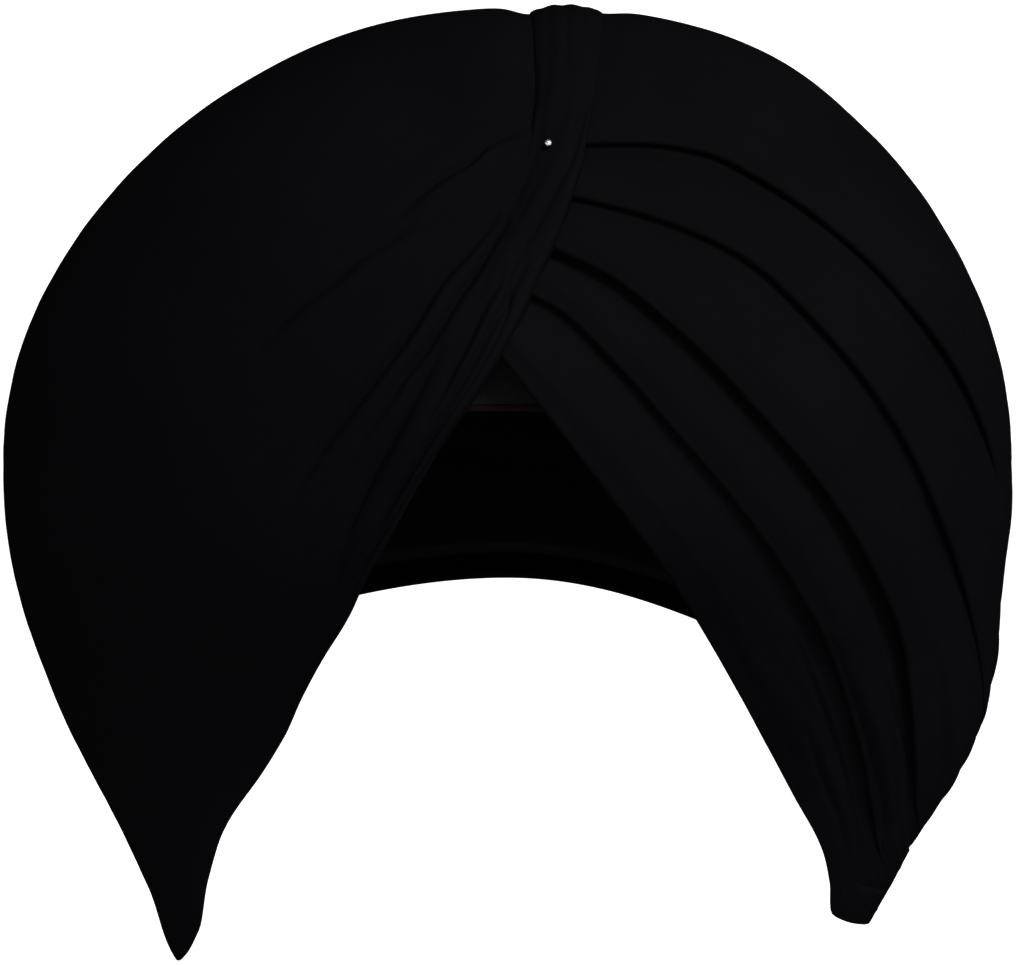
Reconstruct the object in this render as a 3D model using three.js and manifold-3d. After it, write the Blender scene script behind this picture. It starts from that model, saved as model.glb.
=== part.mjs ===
// A wound turban (pagri) of one long folded cloth, as it keeps its form on a head.
// Five turns fan out from behind the wearer's left ear and step up towards the crown, each over the
// one below it. A smooth layer covers the wearer's right side. A pleated band comes over the crown
// from the back and runs down the front as a slanting bundle of folds to the forehead, where a
// small triangle of the under-turban shows. Inside is the wound cloth that the layers lie on,
// and the open hollow for the head.
//
// Millimetres, +Z up, -Y to the front, +X to the wearer's left. The origin is where the hollow
// seats on the top of the head.
//
// Every surface is placed by a direction from the form's centre, turned by a bearing (0 at the front,
// 90 at the wearer's left, 180 at the back) and raised by a height angle, both in degrees.
import * as THREE from "three";
import { mergeVertices } from "three/addons/utils/BufferGeometryUtils.js";
import Module from "manifold-3d";

// Driving dimensions of the outer form, from its centre.
const HALF_WIDTH = 150;
const CROWN_RISE = 136;
const SIDE_DROP = 147;
const FRONT_REACH = 122;
const BACK_REACH = 140;

// Driving dimensions of the hollow for the head, from the same centre.
const HEAD_HALF_WIDTH = 80;
const HEAD_RISE = 114;
const HEAD_FRONT = 107;
const HEAD_BACK = 95;
const RIM_WALL = 12;

// One turn is the cloth folded into several plies. Layers lie on each other with a small gap.
const CLOTH = 3;
const GAP = 0.5;
const CORE_GAP = 1.35;
const EDGE_ROUND = 1;

// The band's height over the layers that it lies on, and the depth of its pleats and rolled edges.
const BAND_HEIGHT = 3.9;
const BAND_SEAT = 0.7;
const BAND_PLEAT = 0.9;
const BAND_EDGE = 1.2;
const BAND_LEAST = 0.4;

// The under-turban, its rolled hem and the pin.
const UNDER_CLOTH = 1.6;
const UNDER_GAP = 1;
const HEM_RADIUS = 1.1;
const PIN_HEAD_RADIUS = 1.1;
const PIN_SHANK_RADIUS = 0.5;
const PIN_LENGTH = 20;
const PIN_CLEARANCE = 0.3;
const PIN_SIDES = 8;

// Radius of the outer form at each height angle, as a share of the reach in that direction.
const FORM = [
  { height: -75, right: 1.16, left: 1.3, front: 0.6, back: 0.6 },
  { height: -57, right: 1.16, left: 1.205, front: 0.62, back: 0.62 },
  { height: -50, right: 1.146, left: 1.113, front: 0.64, back: 0.64 },
  { height: -42, right: 1.105, left: 1.055, front: 0.68, back: 0.68 },
  { height: -32, right: 1.083, left: 1.025, front: 0.73, back: 0.74 },
  { height: -22, right: 1.04, left: 1.008, front: 0.79, back: 0.815 },
  { height: -10, right: 1.003, left: 1.005, front: 0.88, back: 0.91 },
  { height: 0, right: 1.0, left: 1.002, front: 0.935, back: 0.975 },
  { height: 15, right: 1.005, left: 0.998, front: 1.0, back: 1.03 },
  { height: 30, right: 1.007, left: 0.989, front: 1.03, back: 1.05 },
  { height: 45, right: 1.02, left: 0.984, front: 1.035, back: 1.045 },
  { height: 60, right: 1.037, left: 0.99, front: 1.02, back: 1.03 },
  { height: 75, right: 1.02, left: 0.996, front: 1.01, back: 1.01 },
  { height: 90, right: 1.0, left: 1.0, front: 1.0, back: 1.0 },
];

// The hollow in the same way: upright walls below its widest level, flaring out to the tips.
const HOLLOW = [
  { height: -75, right: 2.4, left: 2.4, front: 2.0, back: 1.6 },
  { height: -39, right: 1.6, left: 1.6, front: 1.3, back: 1.2 },
  { height: -31, right: 1.26, left: 1.26, front: 1.17, back: 1.12 },
  { height: -22, right: 1.08, left: 1.08, front: 1.07, back: 1.06 },
  { height: -10, right: 1.015, left: 1.015, front: 1.015, back: 1.015 },
  { height: 0, right: 1.0, left: 1.0, front: 1.0, back: 1.0 },
  { height: 90, right: 1.0, left: 1.0, front: 1.0, back: 1.0 },
];

// Height angle of the lower edge of each turn, round from the front, and how full its plies are:
// they are gathered thin behind the ears.
const TURNS = [
  { bearing: -6, one: 23, two: 27, three: 33, four: 39, five: 43, plies: 1 },
  { bearing: 0, one: 15, two: 24, three: 31, four: 37, five: 43, plies: 1 },
  { bearing: 6, one: 7, two: 21, three: 28.4, four: 36, five: 43.1, plies: 1 },
  { bearing: 12, one: -1, two: 15, three: 25.3, four: 34.7, five: 43.2, plies: 1 },
  { bearing: 20, one: -10.4, two: 5.8, three: 18.5, four: 32.3, five: 43.4, plies: 1 },
  { bearing: 30, one: -21.8, two: -4.7, three: 8.3, four: 27.5, five: 42.1, plies: 1 },
  { bearing: 40, one: -31.5, two: -14.6, three: -1.6, four: 17.7, five: 36.8, plies: 1 },
  { bearing: 50, one: -39.2, two: -23.9, three: -11.4, four: 6.5, five: 28.5, plies: 1 },
  { bearing: 60, one: -45.0, two: -33.5, three: -21.2, four: -5.0, five: 17.4, plies: 1 },
  { bearing: 70, one: -49.4, two: -41.5, three: -33.4, four: -14.4, five: 5.7, plies: 0.85 },
  { bearing: 80, one: -53.8, two: -46.8, three: -40.3, four: -23.4, five: -4.5, plies: 0.65 },
  { bearing: 90, one: -54.5, two: -48.8, three: -43.2, four: -30.5, five: -14.5, plies: 0.5 },
  { bearing: 100, one: -50, two: -46, three: -42, four: -36, five: -25, plies: 0.45 },
  { bearing: 112, one: -44.5, two: -41, three: -37.5, four: -33, five: -26, plies: 0.5 },
  { bearing: 125, one: -36.5, two: -32, three: -27, four: -21.5, five: -13.5, plies: 0.75 },
  { bearing: 150, one: -25, two: -16, three: -6.5, four: 3, five: 13, plies: 1 },
  { bearing: 180, one: -19.5, two: -9, three: 1.5, four: 12, five: 23.5, plies: 1 },
  { bearing: 205, one: -22, two: -13, three: -3, four: 7.5, five: 19.5, plies: 1 },
  { bearing: 225, one: -30.5, two: -23, three: -15, four: -7, five: 5, plies: 0.8 },
  { bearing: 240, one: -41, two: -35.5, three: -30, four: -24.5, five: -14, plies: 0.55 },
  { bearing: 250, one: -47, two: -43, three: -39.5, four: -36, five: -32, plies: 0.45 },
  { bearing: 262, one: -52, two: -48.5, three: -45.5, four: -42.5, five: -39, plies: 0.45 },
];
const TURN_NAMES = ["one", "two", "three", "four", "five"];
const TURN_END = 250;

// Lower edge of the top layer: the left tip, the opening's edge on that side, the slant up the
// front, the fifth turn's edge, and the back down to the tip again.
const TOP_EDGE = [
  { bearing: -100, height: -55.5 },
  { bearing: -92, height: -57.3 },
  { bearing: -84, height: -57.2 },
  { bearing: -78, height: -56.4 },
  { bearing: -72, height: -53.2 },
  { bearing: -66, height: -50 },
  { bearing: -54, height: -45.4 },
  { bearing: -45, height: -40.3 },
  { bearing: -37, height: -33.4 },
  { bearing: -29.5, height: -26 },
  { bearing: -23, height: -18.9 },
  { bearing: -18.6, height: -12.4 },
  { bearing: -14.7, height: -6.8 },
  { bearing: -11.5, height: -1.7 },
  { bearing: -8.9, height: 2.7 },
  { bearing: -5.8, height: 8.8 },
  { bearing: -3.3, height: 15.2 },
  { bearing: -0.7, height: 20.5 },
  { bearing: 2.8, height: 28.7 },
  { bearing: 6, height: 37 },
  { bearing: 8.8, height: 42.5 },
  { bearing: 12.5, height: 43.3 },
  { bearing: 20, height: 43.4 },
  { bearing: 30, height: 42.1 },
  { bearing: 40, height: 36.8 },
  { bearing: 50, height: 28.5 },
  { bearing: 60, height: 17.4 },
  { bearing: 70, height: 5.7 },
  { bearing: 80, height: -4.5 },
  { bearing: 90, height: -14.5 },
  { bearing: 100, height: -25 },
  { bearing: 112, height: -26 },
  { bearing: 125, height: -13.5 },
  { bearing: 150, height: 13 },
  { bearing: 180, height: 23.5 },
  { bearing: 205, height: 19.5 },
  { bearing: 225, height: 5 },
  { bearing: 232, height: -6 },
  { bearing: 239, height: -22 },
  { bearing: 245, height: -39.5 },
  { bearing: 250, height: -49 },
  { bearing: 255, height: -53.5 },
  { bearing: 260, height: -55.5 },
];

// Soft folds of the smooth layer, from the pin and the slant out to the wearer's right. Depth is a
// share of the cloth's thickness.
const SOFT_FOLDS = [
  { fromBearing: 2, fromHeight: 43, toBearing: -28, toHeight: 18, depth: 0.6, spread: 4.5 },
  { fromBearing: -1.5, fromHeight: 31, toBearing: -24, toHeight: 1, depth: 0.6, spread: 4 },
  { fromBearing: -8, fromHeight: 14, toBearing: -30, toHeight: -20, depth: 0.4, spread: 4 },
];

// The band over the crown, from its folded end at the back to the forehead and on down the edge of
// the smooth layer. Pitch turns over the head from the front, the two sides are angles out from the
// middle plane, and stand is a share of the band's full height.
const BAND = [
  { pitch: 155.2, near: 2.4, far: 7.6, stand: 0.5 },
  { pitch: 154.2, near: 2.0, far: 8.0, stand: 0.72 },
  { pitch: 149, near: 1.6, far: 8.6, stand: 0.72 },
  { pitch: 143, near: 1.3, far: 9.1, stand: 0.72 },
  { pitch: 135, near: 1.2, far: 9.6, stand: 0.72 },
  { pitch: 127, near: 1.3, far: 10, stand: 0.72 },
  { pitch: 119, near: 1.5, far: 10.5, stand: 0.72 },
  { pitch: 111, near: 1.8, far: 10.7, stand: 0.72 },
  { pitch: 103, near: 2.0, far: 10.9, stand: 0.72 },
  { pitch: 95, near: 2.2, far: 10.9, stand: 0.72 },
  { pitch: 87, near: 2.4, far: 10.8, stand: 0.72 },
  { pitch: 79, near: 2.55, far: 10.7, stand: 0.72 },
  { pitch: 70, near: 2.7, far: 10.3, stand: 0.77 },
  { pitch: 61, near: 2.8, far: 9.7, stand: 0.82 },
  { pitch: 52, near: 3.0, far: 8.8, stand: 0.87 },
  { pitch: 44.5, near: 2.9, far: 7.8, stand: 0.97 },
  { pitch: 37.3, near: 1.6, far: 6.7, stand: 1 },
  { pitch: 28.8, near: -0.9, far: 4.8, stand: 1 },
  { pitch: 20.5, near: -4.4, far: 1.8, stand: 0.97 },
  { pitch: 15.2, near: -6.8, far: -0.8, stand: 0.92 },
  { pitch: 10.3, near: -9, far: -4, stand: 0.87 },
  { pitch: 5.5, near: -11.2, far: -7.4, stand: 0.8 },
  { pitch: -1.7, near: -14.6, far: -11.5, stand: 0.7 },
  { pitch: -7, near: -17.2, far: -14.8, stand: 0.56 },
  { pitch: -13.1, near: -20, far: -18.5, stand: 0.38 },
];
const BAND_RIDGES = 3;

// The under-turban: how far round it reaches, and its lower and upper edges.
const UNDER_BEARING = 55;
const UNDER_LOW = 10.6;
const UNDER_HIGH = 40;

// The seam along the crown where the two top layers meet, under the band.
const SEAM_SHARE = 0.113;

// The pin through the band at the top of the slant: its head's place, and where its shank points.
// The depth that it points to is a share of the cloth's thickness.
const PIN = { bearing: 5.9, height: 43.3, tipHeight: 53, tipDepth: 0.75 };

const DEGREE = Math.PI / 180;
const CENTRE = new THREE.Vector3(0, 0, -HEAD_RISE);

// A smooth curve through a table's column that doesn't overshoot between its rows.
function curve(rows, key, column) {
  const x = rows.map((row) => row[key]);
  const y = rows.map((row) => row[column]);
  const slope = x.slice(1).map((value, i) => (y[i + 1] - y[i]) / (value - x[i]));
  const tangent = y.map((_, i) => {
    if (i === 0) return slope[0];
    if (i === y.length - 1) return slope[i - 1];
    if (slope[i - 1] * slope[i] <= 0) return 0;
    return (2 * slope[i - 1] * slope[i]) / (slope[i - 1] + slope[i]);
  });
  return (at) => {
    const inside = Math.min(Math.max(at, x[0]), x[x.length - 1]);
    let i = 0;
    while (i < x.length - 2 && inside > x[i + 1]) i += 1;
    const span = x[i + 1] - x[i];
    const t = (inside - x[i]) / span;
    const rise = y[i + 1] - y[i];
    const start = tangent[i] * span;
    const end = tangent[i + 1] * span;
    return y[i] + start * t + (3 * rise - 2 * start - end) * t * t + (start + end - 2 * rise) * t * t * t;
  };
}

const mix = (a, b, share) => a + (b - a) * share;
const smooth = (share) => THREE.MathUtils.smoothstep(share, 0, 1);
const steps = (count, from, to) => Array.from({ length: count + 1 }, (_, i) => mix(from, to, i / count));

// A closed body shape: four upright profiles joined round by ellipses.
class Body {
  constructor(rows, halfWidth, front, back, rise, drop) {
    this.profile = {};
    for (const side of ["right", "left", "front", "back"]) this.profile[side] = curve(rows, "height", side);
    Object.assign(this, { halfWidth, front, back, rise, drop });
  }

  // The reach along each axis for a direction.
  reach(v) {
    const lengthwise = v.y < 0 ? this.front : this.back;
    return new THREE.Vector3(this.halfWidth, lengthwise, v.z > 0 ? this.rise : this.drop);
  }

  // How far out the surface is along a unit direction of the body's own stretched space.
  share(n) {
    const height = Math.asin(THREE.MathUtils.clamp(n.z, -1, 1)) / DEGREE;
    const along = Math.hypot(n.x, n.y) || 1;
    const lengthwise = this.profile[n.y < 0 ? "front" : "back"](height);
    const sideways = this.profile[n.x > 0 ? "right" : "left"](height);
    return 1 / Math.hypot(n.y / along / lengthwise, n.x / along / sideways);
  }

  // The distance from the centre to the surface along a true direction.
  radius(direction) {
    const n = direction.clone().divide(this.reach(direction));
    const length = n.length();
    return this.share(n.divideScalar(length)) / length;
  }
}

const outer = new Body(FORM, HALF_WIDTH, FRONT_REACH, BACK_REACH, CROWN_RISE, SIDE_DROP);
const hollow = new Body(HOLLOW, HEAD_HALF_WIDTH, HEAD_FRONT, HEAD_BACK, HEAD_RISE, SIDE_DROP);

// The true unit direction at a bearing and height angle on the outer form.
function direction(bearing, height) {
  const b = bearing * DEGREE;
  const h = height * DEGREE;
  const n = new THREE.Vector3(Math.cos(h) * Math.sin(b), -Math.cos(h) * Math.cos(b), Math.sin(h));
  return n.multiply(outer.reach(n)).normalize();
}

const at = (way, radius) => way.clone().multiplyScalar(radius).add(CENTRE);
const onForm = (bearing, height, offset) => {
  const way = direction(bearing, height);
  return at(way, outer.radius(way) + offset);
};
const hollowRadius = (way) => Math.min(hollow.radius(way), outer.radius(way) - RIM_WALL);

// A wall between two grids of points, each a list of columns: closed all round or with ends, and
// with its first row drawn together to a point or open.
function wall(outside, inside, { closed = false, apex = false } = {}) {
  const positions = [];
  const triangle = (a, b, c) => {
    if (a.distanceTo(b) < 1e-6 || b.distanceTo(c) < 1e-6 || c.distanceTo(a) < 1e-6) return;
    for (const p of [a, b, c]) positions.push(p.x, p.y, p.z);
  };
  // Each four-sided facet is split along its shorter diagonal, which lies closer to the curve.
  const quad = (a, b, c, d) => {
    if (a.distanceTo(c) <= b.distanceTo(d)) {
      triangle(a, b, c);
      triangle(a, c, d);
    } else {
      triangle(b, c, d);
      triangle(b, d, a);
    }
  };
  const columns = outside.length;
  const last = outside[0].length - 1;
  const spans = closed ? columns : columns - 1;
  for (let i = 0; i < spans; i += 1) {
    const k = (i + 1) % columns;
    for (let j = 0; j < last; j += 1) {
      quad(outside[i][j], outside[i][j + 1], outside[k][j + 1], outside[k][j]);
      quad(inside[i][j], inside[k][j], inside[k][j + 1], inside[i][j + 1]);
    }
    quad(outside[i][last], inside[i][last], inside[k][last], outside[k][last]);
    if (!apex) quad(outside[i][0], outside[k][0], inside[k][0], inside[i][0]);
  }
  if (!closed) {
    const z = columns - 1;
    for (let j = 0; j < last; j += 1) {
      quad(outside[0][j], inside[0][j], inside[0][j + 1], outside[0][j + 1]);
      quad(outside[z][j], outside[z][j + 1], inside[z][j + 1], inside[z][j]);
    }
  }
  const geometry = new THREE.BufferGeometry();
  geometry.setAttribute("position", new THREE.Float32BufferAttribute(positions, 3));
  return geometry;
}

const turnEdge = TURN_NAMES.map((name) => curve(TURNS, "bearing", name));
const plies = curve(TURNS, "bearing", "plies");
const topEdge = curve(TOP_EDGE, "bearing", "height");

// How deep the turns lie where they pass under the smooth layer behind the wearer's right ear.
const DIVE_FROM = 215;
const DIVE_TO = 230;
const diving = (bearing) => smooth((bearing - DIVE_FROM) / (DIVE_TO - DIVE_FROM));
const dive = (bearing) => (CLOTH + 2 * GAP) * diving(bearing);

// The thickness of the top layer, from the crown down to its edge: thin where its plies are gathered.
const topFold = (bearing, share) => CLOTH * mix(1, mix(plies(bearing), 1, diving(bearing)), smooth(share));

// Where the slant up the front crosses a height angle: the turns stop there, under the band.
const SLANT = TOP_EDGE.filter((row) => row.bearing > -6 && row.bearing < 13);
const slantBearing = curve(SLANT, "height", "bearing");
const SLANT_GAP = 0.9;

// The bearings of the columns that all layers share, so that their facets lie on each other.
const LEFT_ROUND = [...steps(6, -100, -52), ...steps(6, -46, -16)];
const RIGHT_ROUND = [...steps(9, 22, 94), ...steps(14, 102, 221), ...steps(6, 226, 252)];
const frontRound = (count) => steps(count, -12, 16);

// A turn from where it is tucked under the next down to its lower edge, across the strip that shows.
const ACROSS = [
  { share: 1.36, over: 1, under: 2 },
  { share: 0.97, over: 1, under: 2 },
  { share: 0.72, over: 0.42, under: 1.42 },
  { share: 0.44, over: 0.1, under: 1.02 },
  { share: 0.24, over: 0, under: 1 },
  { share: 0.07, over: 0.04, under: 1 },
  { share: 0, over: 0.34, under: 1 },
];

const FRONT_FAN = 5;
function turn(index) {
  const low = turnEdge[index];
  const high = turnEdge[index + 1];
  const next = turnEdge[index + 2] ?? ((bearing) => 2 * high(bearing) - low(bearing));
  const heightAt = (bearing, share) => {
    const up = high(bearing) - low(bearing);
    if (share <= 1) return low(bearing) + up * share;
    return high(bearing) + Math.min(next(bearing) - high(bearing), up) * (share - 1);
  };
  // A column near the slant leans with it, and stands upright by the first shared bearing.
  const leaning = (fan) => (share) => {
    let bearing = RIGHT_ROUND[0] * fan;
    let height = 0;
    for (let settle = 0; settle < 40; settle += 1) {
      height = heightAt(bearing, share);
      bearing = mix(slantBearing(height) + SLANT_GAP, RIGHT_ROUND[0], fan);
    }
    return { bearing, height };
  };
  const upright = (bearing) => (share) => ({ bearing, height: heightAt(bearing, share) });
  const columns = [
    ...steps(FRONT_FAN, 0, 1).slice(0, FRONT_FAN).map(leaning),
    ...RIGHT_ROUND.filter((bearing) => bearing < TURN_END).map(upright),
    upright(TURN_END),
  ];
  const fold = (bearing) => CLOTH * plies(bearing);
  const over = (row, bearing) => -row.over * (fold(bearing) + GAP) - dive(bearing);
  const under = (row, bearing) => {
    const gaps = Math.max(row.under - 1, 0) * GAP;
    return -row.under * fold(bearing) - gaps - dive(bearing);
  };
  const side = (offset) =>
    columns.map((column) =>
      ACROSS.map((row) => {
        const { bearing, height } = column(row.share);
        return onForm(bearing, height, offset(row, bearing));
      }),
    );
  return wall(side(over), side(under));
}

// The soft folds' depth at a place on the smooth layer.
function foldDepth(bearing, height) {
  let depth = 0;
  for (const fold of SOFT_FOLDS) {
    const alongBearing = fold.toBearing - fold.fromBearing;
    const alongHeight = fold.toHeight - fold.fromHeight;
    const length = Math.hypot(alongBearing, alongHeight);
    const along = (bearing - fold.fromBearing) * alongBearing + (height - fold.fromHeight) * alongHeight;
    const inside = THREE.MathUtils.clamp(along / length ** 2, 0, 1);
    const offBearing = bearing - fold.fromBearing - alongBearing * inside;
    const offHeight = height - fold.fromHeight - alongHeight * inside;
    const off = Math.hypot(offBearing, offHeight) / fold.spread;
    depth += CLOTH * fold.depth * Math.exp(-off * off) * Math.sin(Math.PI * mix(0.15, 0.85, inside));
  }
  return depth;
}

// The top layers as one dome: the smooth layer, the fifth turn and the back above it.
const DOWN = [0, 0.1, 0.2, 0.3, 0.4, 0.5, 0.6, 0.7, 0.79, 0.87, 0.945, 1];
function dome() {
  const bearings = [...LEFT_ROUND, ...frontRound(14), ...RIGHT_ROUND];
  const column = (bearing, offset) =>
    DOWN.map((share) => {
      const height = 90 - (90 - topEdge(bearing)) * share;
      return onForm(bearing, height, offset(share, bearing, height));
    });
  const over = (share, bearing, height) => (share === 1 ? -EDGE_ROUND : 0) - foldDepth(bearing, height);
  const under = (share, bearing, height) => -topFold(bearing, share) - foldDepth(bearing, height);
  return wall(
    bearings.map((bearing) => column(bearing, over)),
    bearings.map((bearing) => column(bearing, under)),
    { closed: true, apex: true },
  );
}

// The whole lower rim: the opening's two edges, the tips and the edge over the nape.
const FOREHEAD = { left: -5.6, right: 4.2, height: 9.4 };
function rim(bearing) {
  if (bearing <= FOREHEAD.left) return topEdge(bearing);
  if (bearing < FOREHEAD.right) return FOREHEAD.height;
  return bearing > 250 ? topEdge(bearing) : turnEdge[0](bearing);
}

// The wound cloth inside: a thick wall from the layers down to the head.
const CORE_RECESS = 3;
const CORE_LIFT = 10;
const CORE_LIFT_SPREAD = 7;
const CORE_TUCK = 24;
function core() {
  const bearings = [...LEFT_ROUND, ...frontRound(7), ...RIGHT_ROUND];
  const edge = (bearing) => {
    const lift = CORE_LIFT * Math.exp(-((bearing / CORE_LIFT_SPREAD) ** 2));
    return rim(bearing) + CORE_RECESS + lift;
  };
  const height = (bearing, share) => 90 - (90 - edge(bearing)) * share;
  const deep = (bearing, share) => {
    const up = height(bearing, share);
    const top = topFold(bearing, share) + foldDepth(bearing, up) + CORE_GAP;
    const tucked = smooth((turnEdge[4](bearing) + CORE_TUCK - up) / (CORE_TUCK / 2));
    const turns = tucked * smooth((bearing + 12) / 5);
    return top + turns * (CLOTH * plies(bearing) + GAP) + dive(bearing) * smooth(share);
  };
  const outside = bearings.map((bearing) =>
    DOWN.map((share) => onForm(bearing, height(bearing, share), -deep(bearing, share))),
  );
  const inside = bearings.map((bearing) =>
    DOWN.map((share) => {
      const way = direction(bearing, height(bearing, share));
      return at(way, hollowRadius(way));
    }),
  );
  return wall(outside, inside, { closed: true, apex: true });
}

// The band over the crown and down the slant, with pleats along it.
const BAND_ACROSS = 9;
function band() {
  const way = (pitch, side) => {
    const p = pitch * DEGREE;
    const s = side * DEGREE;
    const n = new THREE.Vector3(Math.sin(s), -Math.cos(s) * Math.cos(p), Math.cos(s) * Math.sin(p));
    return n.multiply(outer.reach(n)).normalize();
  };
  const pleat = (share) => {
    const ridge = Math.abs(Math.sin(Math.PI * BAND_RIDGES * share));
    const ends = smooth(Math.min(share, 1 - share) * 9);
    return BAND_PLEAT * (ridge - 1) - BAND_EDGE * (1 - ends);
  };
  const point = (row, share, offset) => {
    const d = way(row.pitch, mix(row.near, row.far, share));
    return at(d, outer.radius(d) + offset);
  };
  const shares = steps(BAND_ACROSS, 1, 0);
  const top = (row, share) => Math.max(BAND_HEIGHT * row.stand + pleat(share), BAND_SEAT + BAND_LEAST);
  const outside = BAND.map((row) => shares.map((share) => point(row, share, top(row, share))));
  const inside = BAND.map((row) => shares.map((share) => point(row, share, BAND_SEAT)));
  return wall(outside, inside);
}

// The under-turban, against the wound cloth's inner face.
function underTurban() {
  const bearings = steps(18, -UNDER_BEARING, UNDER_BEARING);
  const heights = steps(6, UNDER_HIGH, UNDER_LOW);
  const sheet = (inset) =>
    bearings.map((bearing) =>
      heights.map((height) => {
        const way = direction(bearing, height);
        return at(way, hollowRadius(way) - inset);
      }),
    );
  return wall(sheet(UNDER_GAP), sheet(UNDER_GAP + UNDER_CLOTH));
}

// The hem: a thin roll under the under-turban's lower edge.
const HEM_SIDES = 6;
const HEM_STEPS = 24;
function hem() {
  const points = steps(16, -UNDER_BEARING, UNDER_BEARING).map((bearing) => {
    const way = direction(bearing, UNDER_LOW);
    const drop = new THREE.Vector3(0, 0, HEM_RADIUS + GAP);
    return at(way, hollowRadius(way) - UNDER_GAP - UNDER_CLOTH / 2).sub(drop);
  });
  const section = new THREE.Shape(
    Array.from({ length: HEM_SIDES }, (_, i) => {
      const turned = (2 * Math.PI * i) / HEM_SIDES;
      return new THREE.Vector2(HEM_RADIUS * Math.cos(turned), HEM_RADIUS * Math.sin(turned));
    }),
  );
  const extrudePath = new THREE.CatmullRomCurve3(points);
  return new THREE.ExtrudeGeometry(section, { steps: HEM_STEPS, extrudePath });
}

const wasm = await Module();
wasm.setup();

function solid(geometry) {
  const bare = geometry.index ? geometry.toNonIndexed() : geometry.clone();
  bare.deleteAttribute("normal");
  bare.deleteAttribute("uv");
  const merged = mergeVertices(bare, 1e-3);
  return new wasm.Manifold(
    new wasm.Mesh({
      numProp: 3,
      vertProperties: merged.attributes.position.array,
      triVerts: new Uint32Array(merged.index.array),
    }),
  );
}

function geometryOf(made) {
  const mesh = made.getMesh();
  const geometry = new THREE.BufferGeometry();
  geometry.setAttribute("position", new THREE.BufferAttribute(mesh.vertProperties, 3));
  return geometry.setIndex(new THREE.BufferAttribute(mesh.triVerts, 1));
}

// Half of the space, on one side of the seam, large enough for the whole turban.
function halfSpace(side) {
  const size = 4 * HALF_WIDTH;
  const edge = HALF_WIDTH * SEAM_SHARE + (side * GAP) / 2;
  return solid(new THREE.BoxGeometry(size, size, size).translate(edge + (side * size) / 2, 0, 0));
}

// The pin: a round head on the band, and its shank slanting up into the cloth below.
function pin() {
  const seat = onForm(PIN.bearing, PIN.height, BAND_HEIGHT + PIN_CLEARANCE + PIN_HEAD_RADIUS);
  const tip = onForm(PIN.bearing, PIN.tipHeight, -CLOTH * PIN.tipDepth);
  const up = new THREE.Vector3(0, 1, 0);
  const along = new THREE.Quaternion().setFromUnitVectors(up, tip.sub(seat).normalize());
  const rod = (radius, length) => {
    const upright = new THREE.CylinderGeometry(radius, radius, length, PIN_SIDES);
    return upright.translate(0, length / 2, 0).applyQuaternion(along);
  };
  const shank = solid(rod(PIN_SHANK_RADIUS, PIN_LENGTH));
  const joined = solid(new THREE.SphereGeometry(PIN_HEAD_RADIUS, 12, PIN_SIDES)).add(shank);
  const channel = rod(PIN_SHANK_RADIUS + PIN_CLEARANCE, PIN_LENGTH + 2 * PIN_CLEARANCE);
  return { geometry: geometryOf(joined), seat, channel: solid(channel.translate(seat.x, seat.y, seat.z)) };
}

const cloth = () => new THREE.MeshStandardMaterial({ color: 0x0b0b0e, roughness: 0.9, metalness: 0 });
const hemCloth = () => new THREE.MeshStandardMaterial({ color: 0x1a0a0a, roughness: 0.9, metalness: 0 });
const steel = () => new THREE.MeshStandardMaterial({ color: 0xc8c8cc, roughness: 0.25, metalness: 1 });

const turban = new THREE.Group();
function add(name, geometry, material) {
  const mesh = new THREE.Mesh(geometry, material);
  mesh.name = name;
  turban.add(mesh);
  return mesh;
}

const pinParts = pin();
const top = solid(dome()).subtract(pinParts.channel);

for (let index = 0; index < 4; index += 1) add("turn_" + (index + 1), turn(index), cloth());
add("turn_5", geometryOf(top.intersect(halfSpace(1))), cloth());
add("smooth_layer", geometryOf(top.intersect(halfSpace(-1))), cloth());
add("crown_band", geometryOf(solid(band()).subtract(pinParts.channel)), cloth());
add("wound_core", core(), cloth());
add("under_turban", underTurban(), cloth());
add("under_turban_hem", hem(), hemCloth());
add("pin", pinParts.geometry, steel()).position.copy(pinParts.seat);

export default turban;
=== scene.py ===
# %% [markdown]
# # A wound pagri turban
#
# The turban is one long strip of black cotton voile, folded lengthwise into a few plies and wound
# round the head. Five turns step up the wearer's left side, a smooth layer covers the right side,
# and a pleated band comes over the crown and runs down the front as a slanting bundle of folds.
#
# Cloth could be wound by simulation, but a turban's folds are dressed by hand, one by one. So each
# layer here is a flat grid, as the cloth is before it is wound, and every point of that grid is laid
# on the turban's form. The folds are then pressed into it. Most layers get their thickness last; the
# dome's two halves stay single sheets.

# %%
# Load the frame
import math

import bmesh
import bpy
import numpy as np
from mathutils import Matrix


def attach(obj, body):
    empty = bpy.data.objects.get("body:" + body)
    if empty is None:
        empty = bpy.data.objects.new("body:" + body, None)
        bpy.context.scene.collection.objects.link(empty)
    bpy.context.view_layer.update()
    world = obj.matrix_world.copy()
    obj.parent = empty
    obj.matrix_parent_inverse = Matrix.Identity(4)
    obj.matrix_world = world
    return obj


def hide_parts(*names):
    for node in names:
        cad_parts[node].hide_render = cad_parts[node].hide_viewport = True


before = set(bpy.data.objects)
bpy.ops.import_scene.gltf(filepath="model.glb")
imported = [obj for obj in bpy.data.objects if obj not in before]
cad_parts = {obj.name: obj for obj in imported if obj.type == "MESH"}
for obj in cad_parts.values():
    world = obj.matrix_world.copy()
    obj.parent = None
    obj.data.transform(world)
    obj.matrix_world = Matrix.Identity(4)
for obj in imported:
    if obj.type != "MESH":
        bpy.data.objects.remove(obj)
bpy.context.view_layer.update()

BODY = "root"
print("nodes:", sorted(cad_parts))

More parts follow.
